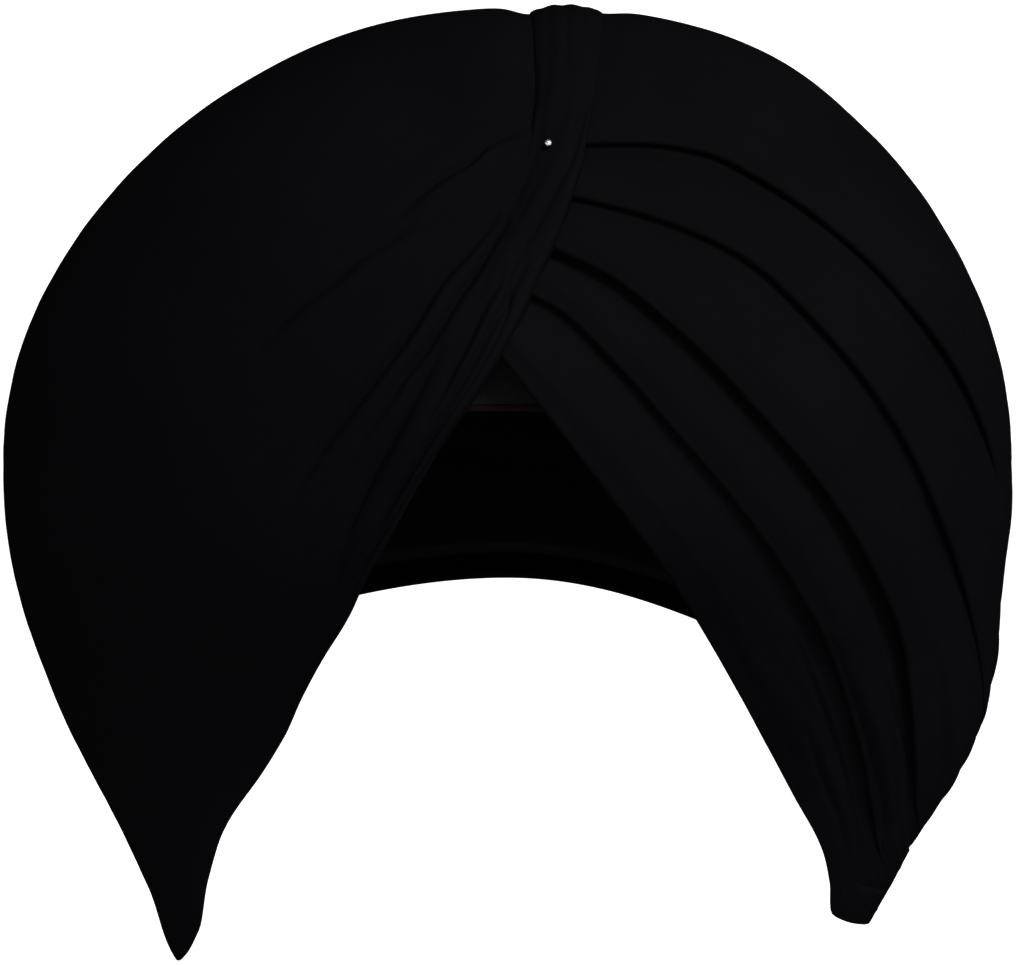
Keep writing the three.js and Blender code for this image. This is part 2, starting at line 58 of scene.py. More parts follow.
# %% [markdown]
# ## The camera
#
# The photograph is taken from straight ahead, a touch above the brow, through a long lens: the two
# lower tips and the crown show no spread. The camera stands 2.2 m away and is aimed a little below
# the form's centre, so the turban sits in the picture where it does in the photograph.

# %%
# Place the camera
MM = 0.001
PICTURE_WIDTH_PX = 1019
MM_PER_PX = 300 / 1008
CAMERA_DISTANCE = 2.2
CAMERA_HEIGHT_ANGLE = math.radians(3)
CENTRE = np.array([0.0, 0.0, -114.0])
AIM = (0.0007, 0.0, -0.1192)

lens = bpy.data.cameras.new("view")
lens.sensor_width = 36
lens.lens = lens.sensor_width * CAMERA_DISTANCE / (PICTURE_WIDTH_PX * MM_PER_PX * MM)
lens.clip_end = 50
camera = bpy.data.objects.new("view", lens)
bpy.context.collection.objects.link(camera)
camera.location = (
    AIM[0],
    AIM[1] - CAMERA_DISTANCE * math.cos(CAMERA_HEIGHT_ANGLE),
    AIM[2] + CAMERA_DISTANCE * math.sin(CAMERA_HEIGHT_ANGLE),
)
camera.rotation_euler = (math.pi / 2 - CAMERA_HEIGHT_ANGLE, 0, 0)
bpy.context.scene.camera = camera
print("lens", round(lens.lens, 1), "mm")

# %% [markdown]
# ## The form that the cloth lies on
#
# A turban's outside is a closed, rounded body. It is given here as a distance from its centre in
# every direction. A direction is a bearing (0 at the front, 90 at the wearer's left, 180 at the back)
# and a height angle. Four upright profiles, joined round by ellipses, give the distance. The tables
# hold shares of the named sizes, so the outline of the photograph is in them and nothing else.

# %%
# Tables with named columns, and smooth curves through them
HALF_WIDTH, CROWN_RISE, SIDE_DROP = 150.0, 136.0, 147.0
FRONT_REACH, BACK_REACH = 122.0, 140.0
# Roughly the millimetres that one degree spans on the form
DEGREE_SPAN = 2.4
HEAD_HALF_WIDTH, HEAD_RISE, HEAD_FRONT, HEAD_BACK = 80.0, 114.0, 107.0, 95.0
RIM_WALL = 12.0


def table(columns, rows):
    """Named columns from rows of numbers."""
    values = np.array(rows, float)
    return {name: values[:, i] for i, name in enumerate(columns.split())}


def curve(rows, along, column):
    """A smooth curve through a table's column that doesn't overshoot between its rows."""
    x, y = rows[along], rows[column]
    slope = np.diff(y) / np.diff(x)
    both = slope[:-1] * slope[1:]
    same = both > 0
    tangent = np.concatenate([
        slope[:1],
        np.where(same, 2 * both / np.where(same, slope[:-1] + slope[1:], 1), 0),
        slope[-1:],
    ])

    def at(value):
        value = np.clip(value, x[0], x[-1])
        i = np.clip(np.searchsorted(x, value, side="right") - 1, 0, len(x) - 2)
        span, rise = x[i + 1] - x[i], y[i + 1] - y[i]
        t = (value - x[i]) / span
        start, end = tangent[i] * span, tangent[i + 1] * span
        return y[i] + start * t + (3 * rise - 2 * start - end) * t**2 + (start + end - 2 * rise) * t**3

    return at


def mix(a, b, share):
    return a + (b - a) * share


def smooth(share):
    share = np.clip(share, 0, 1)
    return share * share * (3 - 2 * share)


def bell(value, middle, width):
    """A bell curve, 1 at its middle."""
    return np.exp(-(((value - middle) / width) ** 2))


FORM = table("height right left front back", [
    (-75, 1.3, 1.3, 0.6, 0.6),
    (-57, 1.215, 1.205, 0.62, 0.62),
    (-50, 1.155, 1.113, 0.64, 0.64),
    (-42, 1.105, 1.055, 0.68, 0.68),
    (-32, 1.083, 1.025, 0.73, 0.74),
    (-22, 1.04, 1.008, 0.79, 0.815),
    (-10, 1.003, 1.005, 0.88, 0.91),
    (0, 1.0, 1.002, 0.935, 0.975),
    (15, 1.005, 0.998, 1.0, 1.03),
    (30, 1.007, 0.989, 1.03, 1.05),
    (45, 1.02, 0.984, 1.035, 1.045),
    (60, 1.037, 0.99, 1.02, 1.03),
    (75, 1.02, 0.996, 1.01, 1.01),
    (90, 1.0, 1.0, 1.0, 1.0),
])
HOLLOW = table("height right left front back", [
    (-75, 2.4, 2.4, 2.0, 1.6),
    (-39, 1.6, 1.6, 1.3, 1.2),
    (-31, 1.26, 1.26, 1.17, 1.12),
    (-22, 1.08, 1.08, 1.07, 1.06),
    (-10, 1.015, 1.015, 1.015, 1.015),
    (0, 1.0, 1.0, 1.0, 1.0),
    (90, 1.0, 1.0, 1.0, 1.0),
])
print("form rows:", len(FORM["height"]), "hollow rows:", len(HOLLOW["height"]))


# %%
# The form as a function of direction
class Body:
    """A closed body shape, as a distance from the centre in each direction."""

    def __init__(self, rows, half_width, front, back, rise, drop):
        self.side = {name: curve(rows, "height", name) for name in ("right", "left", "front", "back")}
        self.half_width, self.front, self.back, self.rise, self.drop = half_width, front, back, rise, drop

    def reach(self, way):
        return np.stack([
            np.full(way.shape[:-1], self.half_width),
            np.where(way[..., 1] < 0, self.front, self.back),
            np.where(way[..., 2] > 0, self.rise, self.drop),
        ], axis=-1)

    def radius(self, way):
        n = way / self.reach(way)
        length = np.linalg.norm(n, axis=-1)
        n = n / length[..., None]
        height = np.degrees(np.arcsin(np.clip(n[..., 2], -1, 1)))
        # Straight up has no bearing of its own, so it takes the front's
        upright = np.hypot(n[..., 0], n[..., 1]) < 1e-9
        n = np.where(upright[..., None], n + np.array([0, -1e-9, 0]), n)
        level = np.hypot(n[..., 0], n[..., 1])
        lengthwise = np.where(n[..., 1] < 0, self.side["front"](height), self.side["back"](height))
        sideways = np.where(n[..., 0] > 0, self.side["right"](height), self.side["left"](height))
        return 1 / np.hypot(n[..., 1] / level / lengthwise, n[..., 0] / level / sideways) / length


OUTER = Body(FORM, HALF_WIDTH, FRONT_REACH, BACK_REACH, CROWN_RISE, SIDE_DROP)
HEAD = Body(HOLLOW, HEAD_HALF_WIDTH, HEAD_FRONT, HEAD_BACK, HEAD_RISE, SIDE_DROP)


def unit(v):
    return v / np.maximum(np.linalg.norm(v, axis=-1, keepdims=True), 1e-9)


def direction(bearing, height):
    """The true unit direction at a bearing and height angle, in degrees."""
    b, h = np.radians(bearing), np.radians(height)
    n = np.stack([np.cos(h) * np.sin(b), -np.cos(h) * np.cos(b), np.sin(h) + 0 * b], axis=-1)
    return unit(n * OUTER.reach(n))


def banded(pitch, side):
    """The true unit direction at a pitch over the head and an angle out from the middle plane."""
    p, s = np.radians(pitch), np.radians(side)
    n = np.stack([np.sin(s) + 0 * p, -np.cos(s) * np.cos(p), np.cos(s) * np.sin(p)], axis=-1)
    return unit(n * OUTER.reach(n))


def laid(way, offset):
    """Points laid on the form in these directions, so many millimetres above it."""
    return CENTRE + way * (OUTER.radius(way) + offset)[..., None]


def hollow_radius(way):
    return np.minimum(HEAD.radius(way), OUTER.radius(way) - RIM_WALL)


print("crown at", laid(direction(np.array(0.0), np.array(90.0)), np.array(0.0)).round(1))

# %% [markdown]
# ## Small unevenness
#
# No wound cloth is even. Two kinds of unevenness are pressed into every layer: a broad, slow swell
# where the plies beneath lie thicker, and fine wrinkles that run along the cloth. Both come from one
# smooth random field on a lattice of seeded numbers, stretched to suit. The field repeats itself
# only every 32 cells, which is longer than any piece here.

# %%
# A smooth random field
LATTICE = np.random.default_rng(7).uniform(-1, 1, (32, 32, 32))


def field(x, y, z=0.0):
    """Smooth random values from -1 to 1, about one swell for each unit."""
    x, y, z = np.broadcast_arrays(x, y, z)
    cell = [np.floor(v).astype(int) for v in (x, y, z)]
    part = [smooth(v - c) for v, c in zip((x, y, z), cell)]
    total = np.zeros(x.shape)
    for corner in range(8):
        step = [(corner >> axis) & 1 for axis in range(3)]
        weight = np.ones(x.shape)
        for share, up in zip(part, step):
            weight = weight * (share if up else 1 - share)
        total += weight * LATTICE[tuple((c + up) % 32 for c, up in zip(cell, step))]
    return total


def wrinkles(along, across, seed):
    """Fine wrinkles that run along the cloth, in millimetres of height."""
    drift = 3 * field(along / 60, across / 30, seed + 0.5)
    coarse = 0.20 * field(along / 55, (across + drift) / 4.2, seed)
    return coarse + 0.07 * field(along / 24, across / 1.9, seed + 9)


def swell(points):
    """The slow swell of the layers beneath, in millimetres."""
    p = points / 38
    return 0.55 * field(p[..., 0], p[..., 1], p[..., 2] + 11)


print("field spans", round(float(field(np.linspace(0, 30, 500), 0.3).max()), 2))

# %% [markdown]
# ## Making a layer
#
# Each layer starts as `bmesh.ops.create_grid`, a flat cloth with its weave drawn on it as a UV map
# in metres. A function then says where each point of the flat cloth goes. Merging doubles closes
# seams and poles, and for the turns, the band and the under-turban a Solidify modifier gives the cloth
# its thickness. Doing it in this order keeps the weave along the cloth, however the layer bends.

# %%
# Helpers that lay a flat grid and thicken it
def made(name, mesh):
    """A smooth-shaded object of the scene, made from a bmesh."""
    for face in mesh.faces:
        face.smooth = True
    data = bpy.data.meshes.new(name)
    mesh.to_mesh(data)
    mesh.free()
    piece = bpy.data.objects.new(name, data)
    bpy.context.collection.objects.link(piece)
    return piece


def cloth_grid(name, columns, rows, place, cut=(1.0, 1.0), divide=None):
    """A grid whose point at (u, v) of the flat cloth goes to place(u, v), in millimetres.

    cut is the flat cloth's length and width in metres, for the weave. divide may cut the bmesh.
    """
    mesh = bmesh.new()
    mesh.loops.layers.uv.new("weave")
    bmesh.ops.create_grid(mesh, x_segments=columns, y_segments=rows, size=0.5, calc_uvs=True)
    flat = np.array([v.co[:2] for v in mesh.verts]) + 0.5
    for vert, co in zip(mesh.verts, (place(flat[:, 0], flat[:, 1]) * MM).tolist()):
        vert.co = co
    bmesh.ops.remove_doubles(mesh, verts=mesh.verts, dist=2e-6)
    if divide:
        divide(mesh)
    piece = made(name, mesh)
    data = piece.data
    weave = np.empty(2 * len(data.loops))
    data.uv_layers["weave"].data.foreach_get("uv", weave)
    data.uv_layers["weave"].data.foreach_set("uv", (weave.reshape(-1, 2) * cut).ravel())
    return piece


def face_outwards(piece):
    """Turn the faces of a finished mesh outwards."""
    mesh = bmesh.new()
    mesh.from_mesh(piece.data)
    bmesh.ops.recalc_face_normals(mesh, faces=mesh.faces)
    mesh.to_mesh(piece.data)
    mesh.free()


def outward(piece):
    """Turn an open layer's faces away from the head, so that its thickness goes inwards."""
    data = piece.data
    centre = CENTRE * MM
    votes = sum(
        (np.array(face.center) - centre) @ np.array(face.normal) * face.area for face in data.polygons
    )
    if votes < 0:
        data.flip_normals()


def thicken(piece, thickness):
    """Give a layer its thickness, inwards from the surface that shows."""
    outward(piece)
    solidify = piece.modifiers.new("thickness", "SOLIDIFY")
    solidify.thickness = thickness * MM
    solidify.offset = -1
    return piece


print("helpers ready")

# %% [markdown]
# ## Edges that are folds
#
# Every edge of a layer that shows is a fold: the cloth comes down the outside, turns round and goes
# back up inside. A sharp cut edge would look like card. So the last rows of each grid run round a
# half circle at the edge, square to it, and a short way back up behind the layer.

# %%
# The rows of a folded layer
CLOTH = 3.0
PLY = 0.7
GAP = 0.5
ROUND_ROWS, RETURN_ROWS = 9, 4
RETURN = 11.0


def fold_rows(outer_rows):
    """Shares of v for the outside, the round edge and the return, and a grid's row count."""
    rows = outer_rows + ROUND_ROWS + RETURN_ROWS
    return outer_rows / rows, (outer_rows + ROUND_ROWS) / rows, rows


def lift(radius):
    """How far up, in degrees, a fold starts so that its lowest line comes to the layer's edge."""
    return 0.42 * radius


def folded(edge, onward, v, starts, ends, radius):
    """Points past a fold's edge: round it, then back up behind. onward is the way along the edge."""
    radial = unit(edge - CENTRE)
    down = unit(np.cross(radial, onward))
    turn = math.pi * np.clip((v - starts) / (ends - starts), 0, 1)
    back = RETURN * np.clip((v - ends) / (1 - ends), 0, 1)
    round_it = down * (radius * np.sin(turn))[:, None] - radial * (radius * (1 - np.cos(turn)))[:, None]
    behind = edge + round_it - down * back[:, None]
    way = unit(behind - CENTRE)
    drop = OUTER.radius(unit(edge - CENTRE)) - np.linalg.norm(edge - CENTRE, axis=-1)
    level = OUTER.radius(way) - drop - radius * (1 - np.cos(turn))
    return np.where((back > 0)[:, None], CENTRE + way * level[:, None], behind)


print("rows past the edge:", ROUND_ROWS + RETURN_ROWS)

# %% [markdown]
# ## Pressed-in folds
#
# Besides its edges, the cloth has soft folds. On the smooth layer they fan out from under the band,
# and at the lower left tip of the wearer many small gathers run together. Each is given as a line of
# bearings and heights, read off the photograph, and pressed in as a crease with a low ridge below
# it that fades at both ends.

# %%
# The soft folds: a line of bearings and heights, then depth and half width in millimetres
SOFT_FOLDS = [
    ([(2.2, 45.4), (-0.6, 44.4), (-3.3, 43.1), (-5.3, 40.8), (-8.1, 39.0), (-10.8, 36.6),
      (-13.8, 33.1)], 2.1, 1.7),
    ([(-12.1, 32), (-14.2, 29.9), (-17.6, 27.9), (-20.3, 25.1), (-23.9, 22.3), (-27, 19.5),
      (-29.8, 16.7)], 1.5, 2.0),
    ([(-1.5, 32.8), (-2.6, 31.2), (-5.3, 27.7), (-8, 24.3), (-9.4, 21.7), (-11.7, 17.6), (-14.8, 13.2),
      (-17.3, 9.8), (-19.7, 6.8), (-22.6, 2.8), (-25.5, -1.5)], 2.0, 1.6),
    ([(-0.2, 31.4), (-0.9, 30.5), (-3.7, 25.5), (-5.3, 23.2), (-7.4, 19.5), (-9.5, 15.8), (-11.6, 13.2),
      (-12.6, 11.4), (-14.1, 9.2), (-16.7, 5.5)], 1.6, 1.3),
    ([(-7.5, 16.4), (-10.3, 10.5), (-13.3, 5.1), (-17.3, -1.8), (-20.5, -6.8)], 1.4, 1.6),
    ([(-0.5, 24.7), (-1.1, 23.4), (-2.8, 20.4), (-4.4, 16.6), (-5.7, 14.0), (-7.3, 10.5),
      (-9.0, 7.3)], 1.3, 1.1),
    ([(2.3, 26.3), (0.9, 23.7), (-0.4, 21.0), (-1.8, 18.4), (-3.0, 15.9), (-4.3, 13.4), (-5.7, 10.9),
      (-7.2, 8.2), (-9.1, 4.8), (-11.2, 1.2), (-15.2, -5.6), (-20.7, -14.5), (-23.1, -17.6)], 1.4, 1.2),
]
TIP_GATHERS = [
    ([(38.6, -15.1), (45.1, -20.8), (50.5, -26.4), (56.3, -31.7), (65.3, -39), (72.7, -44.2),
      (77, -46.9)], 1.6, 1.4),
    ([(47.3, -20.7), (54.2, -27.4), (61.6, -33.6), (70.7, -40.4), (78.5, -45.3), (81, -46.6)], 1.7, 1.3),
    ([(42.9, -21), (49.9, -28.1), (57.5, -34.7), (65.4, -40.6), (74.2, -46.5), (78, -48.6)], 1.5, 1.3),
    ([(52, -34.5), (60, -40.5), (68, -45), (74, -48.4)], 1.2, 1.3),
    ([(60, -26), (66, -31), (72, -36.5), (78, -41.5)], 1.5, 1.3),
    ([(66, -21), (71, -27), (77, -33.5), (84, -40)], 1.2, 1.5),
]


def along_line(line, count=28):
    """Bearings and heights spaced evenly along a smooth curve through a line's points."""
    rows = table("at bearing height", [(i, *p) for i, p in enumerate(line)])
    at = np.linspace(0, len(line) - 1, count)
    return curve(rows, "at", "bearing")(at), curve(rows, "at", "height")(at)


def creased(points, line, depth, width):
    """The relief of one soft fold at these points, in millimetres."""
    path = laid(direction(*along_line(line)), np.zeros(28))
    nearest = np.full(len(points), 1e9)
    signed, share = np.zeros(len(points)), np.zeros(len(points))
    for i in range(len(path) - 1):
        step = path[i + 1] - path[i]
        t = np.clip((points - path[i]) @ step / (step @ step), 0, 1)
        away = points - path[i] - t[:, None] * step
        gap = np.linalg.norm(away, axis=-1)
        side = np.sign(away @ np.cross(step, path[i] - CENTRE))
        closer = gap < nearest
        nearest = np.where(closer, gap, nearest)
        signed = np.where(closer, gap * side, signed)
        share = np.where(closer, (i + t) / (len(path) - 1), share)
    crease = -depth * bell(signed, 0, width)
    ridge = 0.5 * depth * bell(signed, -2.1 * width, 1.5 * width)
    return (crease + ridge) * np.sin(math.pi * mix(0.12, 0.9, share)) * (nearest < 40)


print("soft folds:", len(SOFT_FOLDS))

# %% [markdown]
# ## The four turns
#
# The turns fan out of the gathers behind the wearer's left ear. Each one lies over the turn below
# it, so its lower edge is a fold that shows and its upper part slopes in under the next turn. The
# table gives each turn's lower edge round the head, read off the photograph at the front and carried
# on plainly round the back. Where they bunch together their plies are pulled thin, and fine gathers
# run along them.

# %%
# The edges of the turns, and how full their plies are
TURNS = table("bearing one two three four five plies", [
    (-6, 23, 27, 33, 39, 43, 1),
    (0, 15, 24, 31, 37, 43, 1),
    (6, 7, 21, 28.4, 36, 43.5, 1),
    (12, -1, 15, 25.3, 34.7, 43.6, 1),
    (20, -10.4, 5.8, 18.5, 32.3, 43.8, 1),
    (30, -21.8, -4.7, 8.3, 27.5, 42.4, 1),
    (40, -31.5, -14.6, -1.6, 17.7, 36.8, 1),
    (50, -39.2, -23.9, -11.4, 6.5, 28.5, 1),
    (60, -45.0, -33.5, -21.2, -5.0, 17.4, 1),
    (70, -49.4, -41.5, -33.4, -14.4, 5.7, 0.85),
    (74, -51.7, -44, -36.7, -18.1, 1.5, 0.77),
    (77.5, -53.9, -45.9, -39.1, -21.3, -2, 0.64),
    (80, -53.6, -46.8, -40.3, -23.4, -4.5, 0.56),
    (84, -52.9, -48, -41.8, -26.4, -8.4, 0.48),
    (90, -52.1, -48.4, -43.2, -30.5, -14.5, 0.42),
    (100, -49.2, -46, -42, -36, -25, 0.42),
    (112, -44.5, -41, -37.5, -33, -26, 0.5),
    (125, -36.5, -32, -27, -21.5, -13.5, 0.75),
    (150, -25, -16, -6.5, 3, 13, 1),
    (180, -19.5, -9, 1.5, 12, 23.5, 1),
    (205, -22, -13, -3, 7.5, 19.5, 1),
    (225, -30.5, -23, -15, -7, 5, 0.8),
    (240, -41, -35.5, -30, -24.5, -14, 0.55),
    (250, -47, -43, -39.5, -36, -32, 0.45),
    (262, -52, -48.5, -45.5, -42.5, -39, 0.45),
])
TOP_EDGE = table("bearing height", [
    (-100, -55.5), (-92, -57.3), (-84, -57.2), (-78, -56.4), (-72, -53.2), (-66, -50), (-54, -45.4),
    (-45, -40.3), (-37, -33.4), (-29.5, -26), (-23, -18.9), (-18.6, -12.4), (-14.7, -6.8),
    (-11.5, -1.7), (-8.9, 2.7), (-5.8, 8.8), (-3.3, 15.2), (-0.7, 20.5), (2.8, 28.7), (6, 37),
    (8.8, 42.9), (12.5, 43.7), (20, 43.8), (30, 42.4), (40, 36.8), (50, 28.5), (60, 17.4), (70, 5.7),
    (80, -4.5), (90, -14.5), (100, -25), (112, -26), (125, -13.5), (150, 13), (180, 23.5),
    (205, 19.5), (225, 5), (232, -6), (239, -22), (245, -39.5), (250, -49), (255, -53.5), (260, -55.5),
])
TURN_EDGES = [curve(TURNS, "bearing", name) for name in ("one", "two", "three", "four", "five")]
TURN_END = 250.0
plies = curve(TURNS, "bearing", "plies")
top_edge = curve(TOP_EDGE, "bearing", "height")
DIVE_FROM, DIVE_TO = 215.0, 230.0
print("edges:", len(TURN_EDGES), "to bearing", TURN_END)


# %%
# How the layers lie on each other
def diving(bearing):
    """How far the turns have gone down under the smooth layer, from 0 to 1."""
    return smooth((bearing - DIVE_FROM) / (DIVE_TO - DIVE_FROM))


def dive(bearing):
    return (CLOTH + 2 * GAP) * diving(bearing)


def gathered(bearing):
    """How strongly the cloth is gathered, most behind the ears."""
    return np.maximum(bell(bearing, 92, 26), bell(bearing, 250, 18))


slant = (TOP_EDGE["bearing"] > -6) & (TOP_EDGE["bearing"] < 12)
SLANT = {name: column[slant] for name, column in TOP_EDGE.items()}
slant_bearing = curve(SLANT, "height", "bearing")
SLANT_GAP = 0.9
# How far a turn has sunk under the next one, from 0 to 1, over the shares of its width
ACROSS = table("share over", [(0, 0), (0.24, 0), (0.44, 0.1), (0.72, 0.42), (0.97, 1), (1.36, 1)])
sloping = curve(ACROSS, "share", "over")
print("slant from height", SLANT["height"][0], "to", SLANT["height"][-1])

# %% [markdown]
# A turn's grid runs along the cloth in u, from the slant at the front to its end under the smooth
# layer, and across it in v, from its tucked top down to the fold and back up. A point's bearing
# depends on its height, because the end at the slant leans, and its height on its bearing, because the
# edges climb. Going back and forth between the two a few times settles both.

# %%
# Build the four turns
TURN_COLUMNS, TURN_OUTER_ROWS = 400, 52
# How far a turn goes on up under the next one, as a share of what shows of it
TUCK_SHARE = 1.36
SETTLE_STEPS = 24


def turn_place(index):
    high = TURN_EDGES[index + 1]
    beyond = TURN_EDGES[index + 2] if index < 3 else lambda b: 2 * high(b) - low(b)
    starts, ends, _ = fold_rows(TURN_OUTER_ROWS)
    # Between two turns the dark line that shows is the shadow just below the fold
    shadow = 0 if index == 0 else 0.3
    # The second turn slopes in deeper, because the darkest line lies between it and the third
    deeper = 1.45 if index == 1 else 1.0

    def radius_at(bearing):
        return np.maximum((CLOTH * plies(bearing) - PLY) / 2, 0.25)

    def low(bearing):
        return TURN_EDGES[index](bearing) + lift(radius_at(bearing)) + shadow * plies(bearing)

    def height_at(bearing, share):
        up = high(bearing) - low(bearing)
        tuck = np.minimum(beyond(bearing) - high(bearing), up)
        return np.where(share <= 1, low(bearing) + up * share, high(bearing) + tuck * (share - 1))

    def settle(u, share):
        bearing = mix(0.0, TURN_END, u)
        for _ in range(SETTLE_STEPS):
            height = height_at(bearing, share)
            bearing = mix(slant_bearing(height) + SLANT_GAP, TURN_END, u)
        return bearing, height_at(bearing, share)

    def surface(u, share):
        bearing, height = settle(u, share)
        way = direction(bearing, height)
        fold = CLOTH * plies(bearing)
        along, across = bearing * DEGREE_SPAN, share * (high(bearing) - low(bearing)) * DEGREE_SPAN
        fade = smooth((1.02 - share) / 0.3)
        crowned = 0.5 * np.sin(math.pi * np.clip(share / 0.62, 0, 1)) ** 2
        pleats = np.sin(2 * math.pi * (3.2 * share + 0.35 * field(along / 45, share, index)))
        gathers = 0.42 * gathered(bearing) * pleats * smooth(share / 0.3)
        fine = wrinkles(along, across, 3.0 * index) * (1 + gathered(bearing)) * smooth(share / 0.12 + 0.3)
        flat = laid(way, 0 * bearing)
        relief = crowned + fine + gathers + swell(flat)
        for line, depth, width in TIP_GATHERS:
            relief = relief + creased(flat, line, depth, width)
        # The tip is drawn tight, so its outline is nearly smooth
        relief = relief * (1 - 0.6 * smooth((-28 - height) / 12) * bell(bearing, 86, 11))
        # Behind the ears the plies lie nearly level with each other
        level = 1 - 0.85 * bell(bearing, 91, 18) - 0.5 * bell(bearing, 250, 12)
        offset = -sloping(share) * (fold + GAP) * level * deeper - dive(bearing) + relief * fade - 0.35 * fade
        offset = offset + 0.9 * bell(bearing, 90, 12)
        return laid(way, offset), bearing

    def place(u, v):
        share = TUCK_SHARE * (1 - np.clip(v / starts, 0, 1)) ** 1.15
        points, bearing = surface(u, share)
        past = v > starts
        none = 0 * share[past]
        edge, _ = surface(u[past], none)
        ahead, _ = surface(np.clip(u[past] + 0.002, 0, 1), none)
        before, _ = surface(np.clip(u[past] - 0.002, 0, 1), none)
        radius = radius_at(bearing[past])
        points[past] = folded(edge, unit(before - ahead), v[past], starts, ends, radius)
        return points

    return place


# Lengths and widths of the folded strips, measured round the form, in metres
TURN_CUTS = [(0.62, 0.062), (0.64, 0.060), (0.64, 0.064), (0.62, 0.072)]
TURN_PIECES = []
for index, cut in enumerate(TURN_CUTS):
    rows = fold_rows(TURN_OUTER_ROWS)[2]
    piece = cloth_grid(f"turn_{index + 1}_cloth", TURN_COLUMNS, rows, turn_place(index), cut)
    TURN_PIECES.append(thicken(piece, PLY))
    size = np.array(piece.dimensions) / MM
    print(piece.name, len(piece.data.polygons), "faces", size.round(0))

# %% [markdown]
# ## The dome: the fifth turn and the smooth layer
#
# The last round of cloth is wide. It comes over the left side as the fifth turn, lies smooth over
# the whole right side, and its two ends cross under the pleated band. It is built as one dome and
# then parted along the middle of the band, which hides the join. Over the crown the band presses a
# shallow valley into it. It has far more rows than the turns, for the soft folds.

# %%
# The band's edges, its narrow fold, how high it stands and how soft its left side is
BAND = table("pitch near far fold stand soft", [
    (-19.5, -24.4, -23.0, 0.5, 0.02, 1),
    (-13.1, -22.4, -19.4, 0.9, 0.16, 1),
    (-7, -20.0, -15.3, 1.2, 0.34, 1),
    (-1.7, -17.8, -11.7, 1.2, 0.52, 1),
    (5.5, -14.5, -7.1, 1.2, 0.7, 1),
    (10.3, -12.2, -3.8, 1.2, 0.8, 1),
    (15.2, -9.6, -0.9, 1.2, 0.84, 1),
    (20.5, -6.6, 1.7, 1.6, 0.86, 1),
    (24.5, -4.6, 3.2, 2.9, 0.88, 1),
    (27.5, -3.2, 4.4, 2.8, 0.9, 1),
    (31.2, -1.4, 5.7, 2.4, 0.9, 1),
    (34, -0.2, 6.5, 2.1, 0.9, 1),
    (37.3, 1.0, 7.3, 1.6, 0.88, 1),
    (40, 1.8, 7.9, 1.15, 0.84, 0.95),
    (43, 2.4, 8.3, 0.95, 0.76, 0.8),
    (47.8, 2.8, 8.8, 0.6, 0.6, 0.3),
    (53, 3.1, 9.5, 0.55, 0.48, 0.05),
    (61, 3.0, 10.1, 0.7, 0.34, 0),
    (70, 2.95, 10.5, 0.9, 0.22, 0),
    (79, 2.8, 10.8, 1.0, 0.16, 0),
    (95, 2.5, 10.9, 1.0, 0.16, 0),
    (111, 2.0, 10.7, 1.0, 0.22, 0),
    (127, 1.5, 10, 1.0, 0.32, 0),
    (143, 1.3, 9.1, 1.0, 0.34, 0),
    (152, 1.8, 8.2, 1.0, 0.34, 0),
    (157.4, 2.2, 7.7, 1.0, 0.2, 0),
])
BAND_HEIGHT = 3.9
band_near, band_far, band_fold, band_stand, band_soft = (
    curve(BAND, "pitch", name) for name in ("near", "far", "fold", "stand", "soft")
)
print("band rows:", len(BAND["pitch"]))

# %%
# Build the dome
DOME_COLUMNS, DOME_OUTER_ROWS = 470, 196
# The valley's depth beside the band's two edges, how far out it reaches, and the dome's lip there
VALLEY_NEAR, VALLEY_FAR, VALLEY_SPREAD, VALLEY_LIP = 2.1, 1.2, 5.5, 0.25
DOME_BEARINGS = ([0, 0.14, 0.4, 0.51, 0.66, 1], [-100, -45, 3, 45, 105, 260])


def dome_relief(way):
    """How far the dome's cloth stands above the form in these directions, in millimetres."""
    n = unit(way / OUTER.reach(way))
    height = np.degrees(np.arcsin(np.clip(n[:, 2], -1, 1)))
    bearing = np.degrees(np.arctan2(n[:, 0], -n[:, 1]))
    bearing = np.where(bearing < -100, bearing + 360, bearing)
    up = (height - top_edge(bearing)) * DEGREE_SPAN
    flat = laid(way, 0 * bearing)
    seam = smooth(np.minimum(bearing + 100, 260 - bearing) / 14) * smooth((78 - height) / 30)
    left = smooth((bearing - 8) / 8) * smooth((205 - bearing) / 20)
    # The fifth turn's wrinkles follow its edge, and the smooth layer's fall from the band
    along = mix(bearing * 1.9 + height * 1.2, bearing * DEGREE_SPAN, left)
    across = mix(height * 1.9 - bearing * 1.5, up, left)
    relief = swell(flat) + 0.5 * seam * wrinkles(along, across, 17.0)
    gathers = np.sin(2 * math.pi * (up / 8.5 + 0.5 * field(along / 40, up / 20, 5)))
    relief = relief + seam * 0.8 * gathered(bearing) * bell(up, 0, 26) * gathers
    relief = relief + 0.5 * left * np.sin(math.pi * np.clip(up / 26, 0, 1)) ** 2
    for line, depth, width in SOFT_FOLDS:
        relief = relief + creased(flat, line, depth, width)
    # The valley that the band lies in, over the crown and down the back
    side = np.degrees(np.arcsin(np.clip(n[:, 0], -1, 1)))
    pitch = np.degrees(np.arctan2(n[:, 2], -n[:, 1]))
    pitch = np.where(pitch < -90, pitch + 360, pitch)
    near, far = (side - band_near(pitch)) * DEGREE_SPAN, (band_far(pitch) - side) * DEGREE_SPAN
    over = smooth((pitch - 42) / 12) * (n[:, 2] > 0)
    outside = np.maximum(np.maximum(-near, -far), 0)
    deep = np.where(near < far, VALLEY_NEAR, VALLEY_FAR)
    return relief - over * deep * bell(outside, 0, VALLEY_SPREAD) + VALLEY_LIP * over * (outside > 0)


